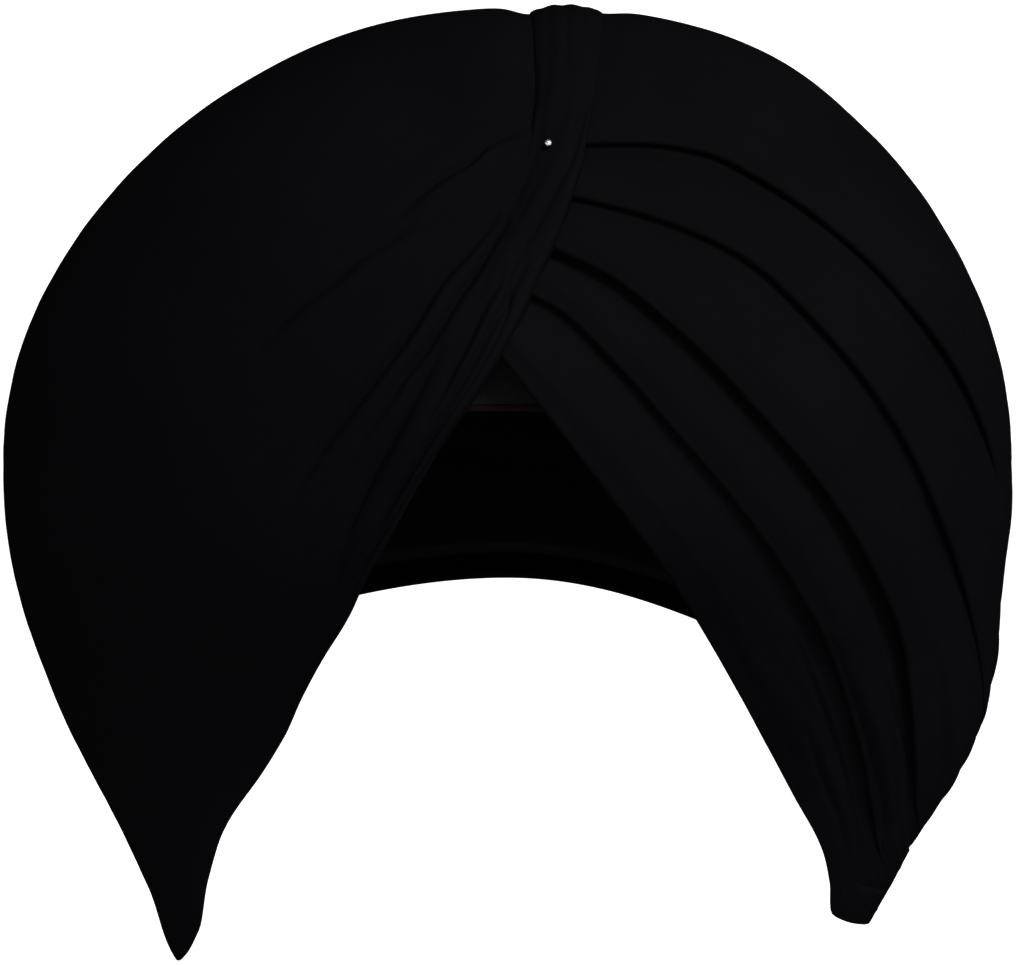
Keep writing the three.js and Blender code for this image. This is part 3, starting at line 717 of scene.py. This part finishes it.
def dome_surface(bearing, share):
    fold = CLOTH * mix(plies(bearing), 1, diving(bearing))
    height = mix(90.0, top_edge(bearing) + lift((fold - PLY) / 2), share)
    way = direction(bearing, height)
    return laid(way, dome_relief(way) - 0.3)


def dome_place(u, v):
    starts, ends, _ = fold_rows(DOME_OUTER_ROWS)
    bearing = np.interp(u, *DOME_BEARINGS)
    points = dome_surface(bearing, 1 - (1 - np.clip(v / starts, 0, 1)) ** 1.12)
    past = v > starts
    around = bearing[past]
    edge = dome_surface(around, 1 + 0 * around)
    ahead = dome_surface((around + 100.4) % 360 - 100, 1 + 0 * around)
    before = dome_surface((around + 99.6) % 360 - 100, 1 + 0 * around)
    fold = CLOTH * mix(plies(around), 1, diving(around))
    points[past] = folded(edge, unit(before - ahead), v[past], starts, ends, (fold - PLY) / 2)
    return points


SEAM_X = 17.0
# How far out, in metres, a rounded piece's weave is laid for each radian from its middle
WEAVE_REACH = 0.135


def keep_side(sign):
    """Cuts the dome at the seam under the band and keeps one side of it."""

    def divide(mesh):
        everything = mesh.verts[:] + mesh.edges[:] + mesh.faces[:]
        seam = SEAM_X * MM
        bmesh.ops.bisect_plane(mesh, geom=everything, plane_co=(seam, 0, 0), plane_no=(1, 0, 0), dist=1e-6)
        beyond = [face for face in mesh.faces if sign * (face.calc_center_median().x - seam) < 0]
        bmesh.ops.delete(mesh, geom=beyond, context="FACES")

    return divide


def weave_from(piece, bearing, height):
    """Lay the weave flat from the middle of a rounded piece, so that it hardly stretches."""
    middle = direction(np.array(bearing), np.array(height))
    east = unit(np.cross(np.array([0, 0, 1.0]), middle))
    north = np.cross(middle, east)
    data = piece.data
    co = np.empty(3 * len(data.vertices))
    data.vertices.foreach_get("co", co)
    way = unit(co.reshape(-1, 3) / MM - CENTRE)
    angle = np.arccos(np.clip(way @ middle, -1, 1))
    flat = np.stack([way @ east, way @ north], axis=-1)
    flat = unit(flat) * (angle * WEAVE_REACH)[:, None]
    index = np.empty(len(data.loops), int)
    data.loops.foreach_get("vertex_index", index)
    data.uv_layers["weave"].data.foreach_set("uv", flat[index].ravel())


dome_rows = fold_rows(DOME_OUTER_ROWS)[2]
smooth_layer = cloth_grid("smooth_layer_cloth", DOME_COLUMNS, dome_rows, dome_place, divide=keep_side(-1))
turn_5 = cloth_grid("turn_5_cloth", DOME_COLUMNS, dome_rows, dome_place, divide=keep_side(1))
weave_from(smooth_layer, -70, 25)
weave_from(turn_5, 95, 45)
for piece in (smooth_layer, turn_5):
    outward(piece)
    print(piece.name, len(piece.data.polygons), "faces")

# %% [markdown]
# ## The pleated band
#
# A narrow pleated end of the cloth is laid over the crown from the back, above the right eye. At the
# front it turns aside, and becomes a bundle of folds that slants down over the ends of the turns and
# fades into the smooth layer's edge. Over the crown both its edges are crisp rolls. Below the pin its
# left side melts into the smooth layer, and a deep groove parts off a narrow fold on its right.

# %%
# Build the band
def band_height(pitch, share):
    """How high the band's top is above the form, in millimetres."""
    near, far = band_near(pitch), band_far(pitch)
    split = 1 - band_fold(pitch) / (far - near)
    wide = np.clip(share / split, 0, 1)
    slim = np.clip((share - split) / (1 - split), 0, 1)
    roll = np.sqrt(1 - (1 - np.clip(wide / 0.3, 0, 1)) ** 2)
    rise = mix(roll, smooth(wide / 0.82) ** 1.1, band_soft(pitch))
    sunk = 0.46 - 0.2 * (1 - band_soft(pitch))
    into = 1 - sunk * (1 - np.sqrt(1 - np.clip((wide - 0.78) / 0.22, 0, 1) ** 2))
    pleats = 0.2 * np.cos(2 * math.pi * (3 * wide + 0.25 * field(pitch / 16, 3 * wide, 2)))
    pleats = pleats * mix(1, 0.5, band_soft(pitch)) * smooth(wide / 0.2) * smooth((1 - wide) / 0.2)
    low = 1 - sunk
    bump = low + (0.93 - low) * np.sqrt(np.maximum(1 - (2 * slim - 1) ** 2, 0))
    bump = np.where(slim > 0.5, bump * np.sqrt(np.maximum(1 - (2 * slim - 1) ** 4, 0)), bump)
    top = np.where(share <= split, rise * into, bump) * BAND_HEIGHT * band_stand(pitch)
    return top + pleats * (share <= split)


BAND_COLUMNS, BAND_ROWS = 440, 72
BACK_PITCH, FRONT_PITCH = 157.4, -19.5
# How much the strip is rounded off over the crown, how deep its skirts go, and its ends are tucked in
CROWN_ROUNDING = 1.6
FRONT_SKIRT, CROWN_SKIRT = 1.9, 3.0
BACK_TUCK, FRONT_TUCK = 4.5, 1.2


def band_place(u, v):
    pitch = mix(BACK_PITCH, FRONT_PITCH, u)
    # The first and last rows are skirts that go down into the cloth beside the band
    share = (v - 0.06) / 0.88
    inner = np.clip(share, 0, 1)
    beyond = np.clip(np.maximum(-share, share - 1) / 0.068, 0, 1)
    side = mix(band_near(pitch), band_far(pitch), inner) + 0.05 * np.sign(share - 0.5) * beyond
    way = banded(pitch, side)
    # Below the pin the band takes on the relief of the smooth layer that it melts into
    base = (dome_relief(way) - 0.3) * smooth((46 - pitch) / 8) * mix(1, 0.25, smooth((inner - 0.75) / 0.25))
    crown = smooth((pitch - 45) / 12)
    roll = np.sqrt(1 - (1 - np.clip((1 - inner) / 0.24, 0, 1)) ** 2)
    top = base + band_height(pitch, inner) * mix(1, roll, crown)
    top = top - crown * CROWN_ROUNDING * np.abs(2 * inner - 1.08) ** 2.2
    relief = 0.12 * field(pitch / 9, inner * 5, 3) + 0.2 * field(pitch / 22, inner * 2, 8)
    relief = relief * smooth(np.minimum(inner, 1 - inner) * 8)
    tucked = BACK_TUCK * smooth((pitch - 155.2) / 2.2) + FRONT_TUCK * smooth((-11 - pitch) / 8)
    skirt = mix(FRONT_SKIRT, CROWN_SKIRT, crown) * beyond
    return laid(way, top + relief - tucked - skirt - 0.15)


crown_band = cloth_grid("crown_band_cloth", BAND_COLUMNS, BAND_ROWS, band_place, cut=(0.44, 0.034))
thicken(crown_band, PLY)
print("band:", len(crown_band.data.polygons), "faces")

# %% [markdown]
# ## What the turns are wound on
#
# Under the layers that show, a turban is a solid ring of earlier turns. Its inside is what is seen
# through the opening. The lower turns cross it on a slant, so its inner face has shallow steps.

# %%
# Build the wound core
CORE_COLUMNS, CORE_ROWS = 240, 110
CORE_DEPTH, CORE_STEP, CORE_STEP_WIDTH = 4.9, 1.1, 5


def core_edge(bearing):
    """The height of the core's lower rim, a little above the folds that hide it."""
    covered = np.where((bearing >= 0) & (bearing <= TURN_END), TURN_EDGES[0](bearing), top_edge(bearing))
    covered = np.where((bearing > -5.6) & (bearing < 4.2), 9.4, covered)
    return covered + 3.4 + 3 * bell(bearing, 68, 14) + 10 * bell(bearing, 0, 7)


def core_place(u, v):
    bearing = mix(-100.0, 260.0, u)
    edge = core_edge(bearing)
    out = np.clip(v / 0.4, 0, 1)
    back = np.clip((v - 0.48) / 0.52, 0, 1)
    height = np.where(v < 0.48, mix(90.0, edge, out), mix(edge, 90.0, back))
    way = direction(bearing, height)
    # Where the grid's two ends meet, both are alike, so that they close
    closing = smooth(np.minimum(bearing + 100, 260 - bearing) / 10)
    covered = closing * smooth((TURN_EDGES[4](bearing) + 24 - height) / 12) * smooth((bearing + 12) / 5)
    depth = CORE_DEPTH + covered * (CLOTH * plies(bearing) + GAP) + closing * dive(bearing) * out
    outer = OUTER.radius(way) - depth
    inner = hollow_radius(way)
    uneven = 1.2 * closing * field(bearing / 25, height / 20, 4)
    steps = height * 0.55 + 5 * np.sin(np.radians(bearing)) + uneven
    rise = steps / CORE_STEP_WIDTH - np.floor(steps / CORE_STEP_WIDTH)
    layered = CORE_STEP * rise**3 + 0.25 * closing * field(bearing / 12, steps * 1.4, 6)
    inner = np.minimum(inner + layered * smooth((80 - height) / 20) * smooth(back * 12), outer - 1.5)
    turn = smooth((v - 0.4) / 0.08)
    return CENTRE + way * mix(outer, inner, turn)[:, None]


wound_core = cloth_grid("wound_core_cloth", CORE_COLUMNS, CORE_ROWS, core_place, cut=(0.8, 0.6))
face_outwards(wound_core)
print("core:", len(wound_core.data.polygons), "faces")

# %% [markdown]
# ## The under-turban and the pin
#
# A narrow cloth is tied round the brow first. Only its hem shows, where the smooth layer and the
# first turn part; the hem's dark red-brown is painted shadow, the shade that falls on the brow under
# the turban's edge. A steel pin goes through the band where it turns aside. Its small round head is
# the one bright point of the whole turban.

# %%
# Build the under-turban, its hem and the pin
UNDER_BEARING, UNDER_LOW, UNDER_HIGH = 55.0, 10.6, 40.0
UNDER_INSET, HEM_INSET, HEM_RADIUS = 1.2, 1.7, 1.1
UNDER_PLY = 0.8


def under_place(u, v):
    bearing = mix(-UNDER_BEARING, UNDER_BEARING, u)
    height = mix(UNDER_HIGH, UNDER_LOW, v)
    way = direction(bearing, height)
    ripple = 0.3 * field(bearing / 18, height / 3.5, 1) * smooth((height - UNDER_LOW) / 3)
    return CENTRE + way * (hollow_radius(way) - UNDER_INSET + ripple)[:, None]


def hem_place(u, v):
    bearing = mix(-UNDER_BEARING, UNDER_BEARING, u)
    way = direction(bearing, UNDER_LOW + 0 * bearing)
    middle = CENTRE + way * (hollow_radius(way) - HEM_INSET)[:, None]
    around = 2 * math.pi * v
    radius = HEM_RADIUS * (1 + 0.08 * field(bearing * 2, 0.5))
    # The roll's two ends are drawn to a point, which closes them
    radius = radius * (np.abs(bearing) < UNDER_BEARING - 0.1)
    down = np.array([0.0, 0.0, 1.0])
    outwards = unit(way * np.array([1.0, 1.0, 0.0]))
    ring = outwards * (0.8 * radius * np.cos(around))[:, None] + down * (radius * np.sin(around))[:, None]
    return middle + ring


under_turban = cloth_grid("under_turban_cloth", 150, 40, under_place, cut=(0.2, 0.06))
thicken(under_turban, UNDER_PLY)
# The hem roll carries painted shadow: its dark red-brown stands in for the shade on the brow below the
# turban's edge
hem = cloth_grid("under_turban_hem_shadow_roll", 150, 14, hem_place, cut=(0.2, 0.008))
face_outwards(hem)

PIN_BEARING, PIN_HEIGHT, PIN_STANDS = 5.7, 42.0, 3.0
PIN_TIP_HEIGHT, PIN_TIP_DEPTH = 47.4, 10.0
PIN_HEAD_RADIUS, PIN_SHANK_RADIUS, PIN_POINT_RADIUS = 1.1, 0.5, 0.05
PIN_NECK, PIN_TAPER, PIN_LENGTH = 1.6, 2.8, 19.8


def spun(profile, steps):
    """A bmesh spun round the upright axis from its profile of (along, radius), in metres."""
    mesh = bmesh.new()
    verts = [mesh.verts.new((radius, 0, along)) for along, radius in profile]
    edges = [mesh.edges.new(pair) for pair in zip(verts, verts[1:])]
    bmesh.ops.spin(
        mesh, geom=verts + edges, cent=(0, 0, 0), axis=(0, 0, 1), dvec=(0, 0, 0),
        angle=2 * math.pi, steps=steps, use_merge=True, use_duplicate=False,
    )
    bmesh.ops.remove_doubles(mesh, verts=mesh.verts, dist=1e-6)
    bmesh.ops.recalc_face_normals(mesh, faces=mesh.faces)
    return mesh


def pushed_in(name, profile, start, end):
    """A round body, such as a pin, that runs from start towards end, in millimetres."""
    mesh = spun([(along * MM, radius * MM) for along, radius in profile], 28)
    axis = unit(end - start)
    side = unit(np.cross(axis, np.array([1.0, 0.2, 0.1])))
    turn = np.stack([side, np.cross(axis, side), axis], axis=-1)
    for vert in mesh.verts:
        vert.co = (turn @ np.array(vert.co) + start * MM).tolist()
    return made(name, mesh)


one = np.array(1.0)
pin_start = laid(direction(PIN_BEARING * one, PIN_HEIGHT * one), PIN_STANDS * one)
pin_end = laid(direction(PIN_BEARING * one, PIN_TIP_HEIGHT * one), -PIN_TIP_DEPTH * one)
round_head = [
    (-PIN_HEAD_RADIUS * math.cos(a), PIN_HEAD_RADIUS * math.sin(a)) for a in np.linspace(0, 2.6, 16)
]
shank = [(PIN_NECK, PIN_SHANK_RADIUS), (PIN_LENGTH - PIN_TAPER, PIN_SHANK_RADIUS)]
point = [(PIN_LENGTH, PIN_POINT_RADIUS), (PIN_LENGTH, 0)]
pin = pushed_in("pin_steel", round_head + shank + point, pin_start, pin_end)
print("pin from", pin_start.round(1), "to", pin_end.round(1))

# %% [markdown]
# ## The cloth's finish
#
# The cloth is cotton voile dyed black, so it shows hardly more than its folds. Two node groups give
# what all the cloths share. One is the plain weave, where the threads of each direction rise and dip
# in turn, which as a height is the product of two waves. The other is the slight unevenness of dye
# and lint. Both give out values only, and each material uses them in its own shader.

# %%
# Node groups for the weave and the dye
def add(tree, kind, inputs=(), out=0, **settings):
    """Add a node, set or link its inputs, and give back one of its outputs."""
    node = tree.nodes.new(kind)
    for name, value in settings.items():
        setattr(node, name, value)
    for key, value in dict(inputs).items():
        if isinstance(value, bpy.types.NodeSocket):
            tree.links.new(value, node.inputs[key])
        else:
            node.inputs[key].default_value = value
    return node.outputs[out]


def sums(tree, operation, a, b):
    return add(tree, "ShaderNodeMath", {0: a, 1: b}, operation=operation)


def ranged(tree, value, low, high, at_low, at_high, **settings):
    """A value that goes from at_low to at_high while the given one goes from low to high."""
    inputs = {0: value, 1: low, 2: high, 3: at_low, 4: at_high}
    return add(tree, "ShaderNodeMapRange", inputs, **settings)


def new_material(name):
    """A material, its node tree and its shader."""
    material = bpy.data.materials.new(name)
    material.use_nodes = True
    return material, material.node_tree, material.node_tree.nodes["Principled BSDF"]


def new_group(name, inputs, outputs):
    """A node group with float inputs and outputs, and its inner ends."""
    tree = bpy.data.node_groups.new(name, "ShaderNodeTree")
    for label, kind, value in inputs:
        socket = tree.interface.new_socket(name=label, in_out="INPUT", socket_type=kind)
        if value is not None:
            socket.default_value = value
    for label in outputs:
        tree.interface.new_socket(name=label, in_out="OUTPUT", socket_type="NodeSocketFloat")
    return tree, tree.nodes.new("NodeGroupInput"), tree.nodes.new("NodeGroupOutput")


weave, given, result = new_group(
    "Plain weave",
    [("Flat cloth", "NodeSocketVector", None), ("Threads per metre", "NodeSocketFloat", 2200.0)],
    ["Height"],
)
flat_cloth, threads = given.outputs[:2]
scaled = add(weave, "ShaderNodeVectorMath", {0: flat_cloth, "Scale": threads}, operation="SCALE")
slub = add(weave, "ShaderNodeTexNoise", {"Vector": scaled, "Scale": 0.11, "Detail": 2.0})
parts = weave.nodes.new("ShaderNodeSeparateXYZ")
weave.links.new(scaled, parts.inputs[0])
waves = []
for axis in (0, 1):
    shifted = sums(weave, "MULTIPLY_ADD", slub, 1.3)
    weave.links.new(parts.outputs[axis], shifted.node.inputs[2])
    waves.append(sums(weave, "SINE", sums(weave, "MULTIPLY", shifted, math.pi), 0.0))
crossed = sums(weave, "MULTIPLY", waves[0], waves[1])
weave.links.new(sums(weave, "MULTIPLY_ADD", crossed, 0.5), result.inputs[0])

dye, given, result = new_group("Dye and lint", [("Place", "NodeSocketVector", None)], ["Tone", "Lint"])
spot = given.outputs[0]
broad = add(dye, "ShaderNodeTexNoise", {"Vector": spot, "Scale": 16.0, "Detail": 3.0, "Roughness": 0.55})
dye.links.new(ranged(dye, broad, 0.3, 0.7, 0.9, 1.1), result.inputs[0])
lint = add(dye, "ShaderNodeTexNoise", {"Vector": spot, "Scale": 900.0, "Detail": 2.0, "Roughness": 0.7})
dye.links.new(ranged(dye, lint, 0.45, 0.75, 0.0, 1.0), result.inputs[1])
print("groups:", [group.name for group in bpy.data.node_groups])

# %% [markdown]
# Matt cotton sends back very little gloss, and a folded ply is dense enough to need no see-through.
# The black voile is a deep black with the least hint of blue. The hem's very dark red-brown is painted
# shadow, the shade that falls on the brow under the turban's edge. The pin is polished steel.

# %%
# The materials
COTTON_ROUGHNESS, BUMP_STRENGTH, BUMP_DISTANCE = 0.88, 0.6, 0.00012


def cloth_material(name, colour, threads):
    """Matt cotton of one colour, with so many threads for each metre."""
    material, tree, shader = new_material(name)
    shader.inputs["Roughness"].default_value = COTTON_ROUGHNESS
    shader.inputs["Specular IOR Level"].default_value = 0.0
    place = add(tree, "ShaderNodeTexCoord", out=3)
    group = tree.nodes.new("ShaderNodeGroup")
    group.node_tree = bpy.data.node_groups["Dye and lint"]
    tree.links.new(place, group.inputs["Place"])
    tone = group.outputs["Tone"]
    toned = add(tree, "ShaderNodeVectorMath", {0: colour, "Scale": tone}, operation="SCALE")
    tree.links.new(toned, shader.inputs["Base Color"])
    threads_group = tree.nodes.new("ShaderNodeGroup")
    threads_group.node_tree = bpy.data.node_groups["Plain weave"]
    threads_group.inputs["Threads per metre"].default_value = threads
    tree.links.new(add(tree, "ShaderNodeUVMap", uv_map="weave"), threads_group.inputs["Flat cloth"])
    rise = sums(tree, "MULTIPLY_ADD", group.outputs["Lint"], 0.5)
    tree.links.new(threads_group.outputs["Height"], rise.node.inputs[2])
    bumped = add(
        tree, "ShaderNodeBump", {"Height": rise, "Strength": BUMP_STRENGTH, "Distance": BUMP_DISTANCE}
    )
    tree.links.new(bumped, shader.inputs["Normal"])
    return material


BLACK_VOILE = cloth_material("black_voile", (0.0027, 0.0027, 0.0034), 2200.0)
# Painted light: the under-turban's cloth is about four times lighter than the black voile, to offset the
# shade of the layers that overhang it
UNDER_CLOTH_PAINTED_LIGHT = cloth_material("under_cloth", (0.0105, 0.0103, 0.0117), 1900.0)
# Painted shadow: the hem's dark red-brown is the shade on the brow under the turban's edge
HEM_SHADOW_CLOTH = cloth_material("hem_cloth", (0.0076, 0.0047, 0.0052), 1900.0)

PIN_STEEL, steel, steel_shader = new_material("pin_steel")
steel_shader.inputs["Metallic"].default_value = 1.0
steel_shader.inputs["Base Color"].default_value = (0.8, 0.8, 0.82, 1)
steel_spot = add(steel, "ShaderNodeTexCoord", out=3)
scratches = add(steel, "ShaderNodeTexNoise", {"Vector": steel_spot, "Scale": 2500.0})
rough = ranged(steel, scratches, 0.3, 0.7, 0.12, 0.3)
steel.links.new(rough, steel_shader.inputs["Roughness"])

FINISH = {piece: BLACK_VOILE for piece in [*TURN_PIECES, turn_5, smooth_layer, crown_band, wound_core]}
FINISH.update({under_turban: UNDER_CLOTH_PAINTED_LIGHT, hem: HEM_SHADOW_CLOTH, pin: PIN_STEEL})
for piece, material in FINISH.items():
    piece.data.materials.append(material)
print({piece.name: material.name for piece, material in FINISH.items()})

# %% [markdown]
# ## The studio
#
# The photograph's ground is plain white with no edge to it. A round floor that sweeps up into a wall
# gives that from every side, and its paper glows, painted light in place of a light behind it. The
# turban is shown as worn, so it hangs with its two tips a little above the floor. In the photograph
# the light comes from the upper right front, and the wearer's right side falls off into deep black.
# So there is one large soft light there, the paper's glow is painted brighter on that side, and only
# a weak light fills in from the left.

# %%
# The sweep
FLOOR = -0.30
FLAT_RADIUS, ROUND_RADIUS, WALL_TOP = 5.0, 1.5, 2.2
WHITE_GLOW, LEFT_GLOW, RIGHT_GLOW = 0.95, 0.35, 0.6
profile = [(FLOOR, radius) for radius in (0.0, 0.5, 1.5, 3.0, FLAT_RADIUS)]
for angle in np.linspace(0, math.pi / 2, 25)[1:]:
    up, across = 1 - math.cos(angle), math.sin(angle)
    profile.append((FLOOR + ROUND_RADIUS * up, FLAT_RADIUS + ROUND_RADIUS * across))
profile.append((WALL_TOP, FLAT_RADIUS + ROUND_RADIUS))
sweep = made("sweep", spun(profile, 72))

paper, tree, paper_shader = new_material("paper")
paper_shader.inputs["Base Color"].default_value = (0.6, 0.6, 0.6, 1)
paper_shader.inputs["Roughness"].default_value = 0.9
paper_shader.inputs["Specular IOR Level"].default_value = 0.0
paper_shader.inputs["Emission Color"].default_value = (1, 1, 1, 1)
spot = add(tree, "ShaderNodeTexCoord", out=3)
axes = tree.nodes.new("ShaderNodeSeparateXYZ")
tree.links.new(spot, axes.inputs[0])
# Straight behind the turban the paper glows white, and elsewhere it is pale; the glow is painted light,
# brighter on the key light's side
behind = ranged(tree, axes.outputs[1], -0.1, 0.35, 0.0, 1.0)
off_middle = sums(tree, "ABSOLUTE", axes.outputs[0], 0.0)
middle = ranged(tree, off_middle, 0.8, 2.2, 1.0, 0.0, interpolation_type="SMOOTHSTEP")
behind = sums(tree, "MULTIPLY", behind, middle)
# Painted light: the paper glows more on the key light's side than on the left
sideways = ranged(tree, axes.outputs[0], -6.0, 6.0, LEFT_GLOW, RIGHT_GLOW)
away = add(tree, "ShaderNodeVectorMath", {0: spot}, out=1, operation="LENGTH")
far_off = ranged(tree, away, 0.8, 3.0, 0.0, 1.0)
pale = sums(tree, "MULTIPLY", sideways, far_off)
glow = ranged(tree, behind, 0.0, 1.0, pale, WHITE_GLOW)
tree.links.new(glow, paper_shader.inputs["Emission Strength"])
sweep.data.materials.append(paper)
print("floor at", FLOOR, "m")


# %%
# The lights
ROOM_LEFT, ROOM_RIGHT = 0.08, 0.4


def soft_light(name, place, size, power):
    """A square soft light, turned towards the turban."""
    data = bpy.data.lights.new(name, "AREA")
    data.size = size
    data.energy = power
    light = bpy.data.objects.new(name, data)
    bpy.context.collection.objects.link(light)
    light.location = place
    away = np.array(place) - CENTRE * MM
    level = math.hypot(away[0], away[1])
    light.rotation_euler = (math.atan2(level, away[2]), 0, math.atan2(away[1], away[0]) + math.pi / 2)
    return light


soft_light("key", (0.9, -1.6, 1.3), 0.8, 62)
soft_light("fill", (-1.5, -1.3, 0.5), 1.2, 1.5)
world = bpy.data.worlds.new("studio")
world.use_nodes = True
room = world.node_tree
room_light = room.nodes["Background"]
room_light.inputs["Color"].default_value = (1, 1, 1, 1)
room_way = room.nodes.new("ShaderNodeSeparateXYZ")
room.links.new(add(room, "ShaderNodeTexCoord", out=0), room_way.inputs[0])
room_side = ranged(room, room_way.outputs[0], -0.7, 0.7, ROOM_LEFT, ROOM_RIGHT)
room.links.new(room_side, room_light.inputs["Strength"])
bpy.context.scene.world = world
bpy.context.scene.view_settings.view_transform = "Standard"
print("lights:", [light.name for light in bpy.data.lights])

# %% [markdown]
# ## What each piece stands for
#
# Every cloth takes the place of its plain solid, and is listed with the flat size it was cut to; the
# ratio of its surface to that size is printed. A folded strip's flat size counts the part that goes
# back up inside. The core is a wound body, not a sheet, and the pin is steel.

SHEETS = [
    (TURN_PIECES[0], "turn_1", (0.052, 0.58), None),
    (TURN_PIECES[1], "turn_2", (0.052, 0.60), None),
    (TURN_PIECES[2], "turn_3", (0.060, 0.62), None),
    (TURN_PIECES[3], "turn_4", (0.070, 0.62), None),
    (turn_5, "turn_5", (0.24, 0.40), 0.06),
    (smooth_layer, "smooth_layer", (0.36, 0.50), 0.12),
    (crown_band, "crown_band", (0.034, 0.44), None),
    (under_turban, "under_turban", (0.065, 0.20), None),
]


def surface_of(piece):
    data = piece.evaluated_get(bpy.context.evaluated_depsgraph_get()).to_mesh()
    return sum(face.area for face in data.polygons)


for piece, node, flat, area in SHEETS:
    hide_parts(node)
    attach(piece, BODY)
    share = surface_of(piece) / 2 / (area or flat[0] * flat[1])
    print(node, "flat", flat, "surface to flat", round(share, 2))
for piece, node, slot in [
    (wound_core, "wound_core", "black_voile"),
    (hem, "under_turban_hem", "hem_cloth"),
    (pin, "pin", "pin_steel"),
]:
    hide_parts(node)
    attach(piece, BODY)
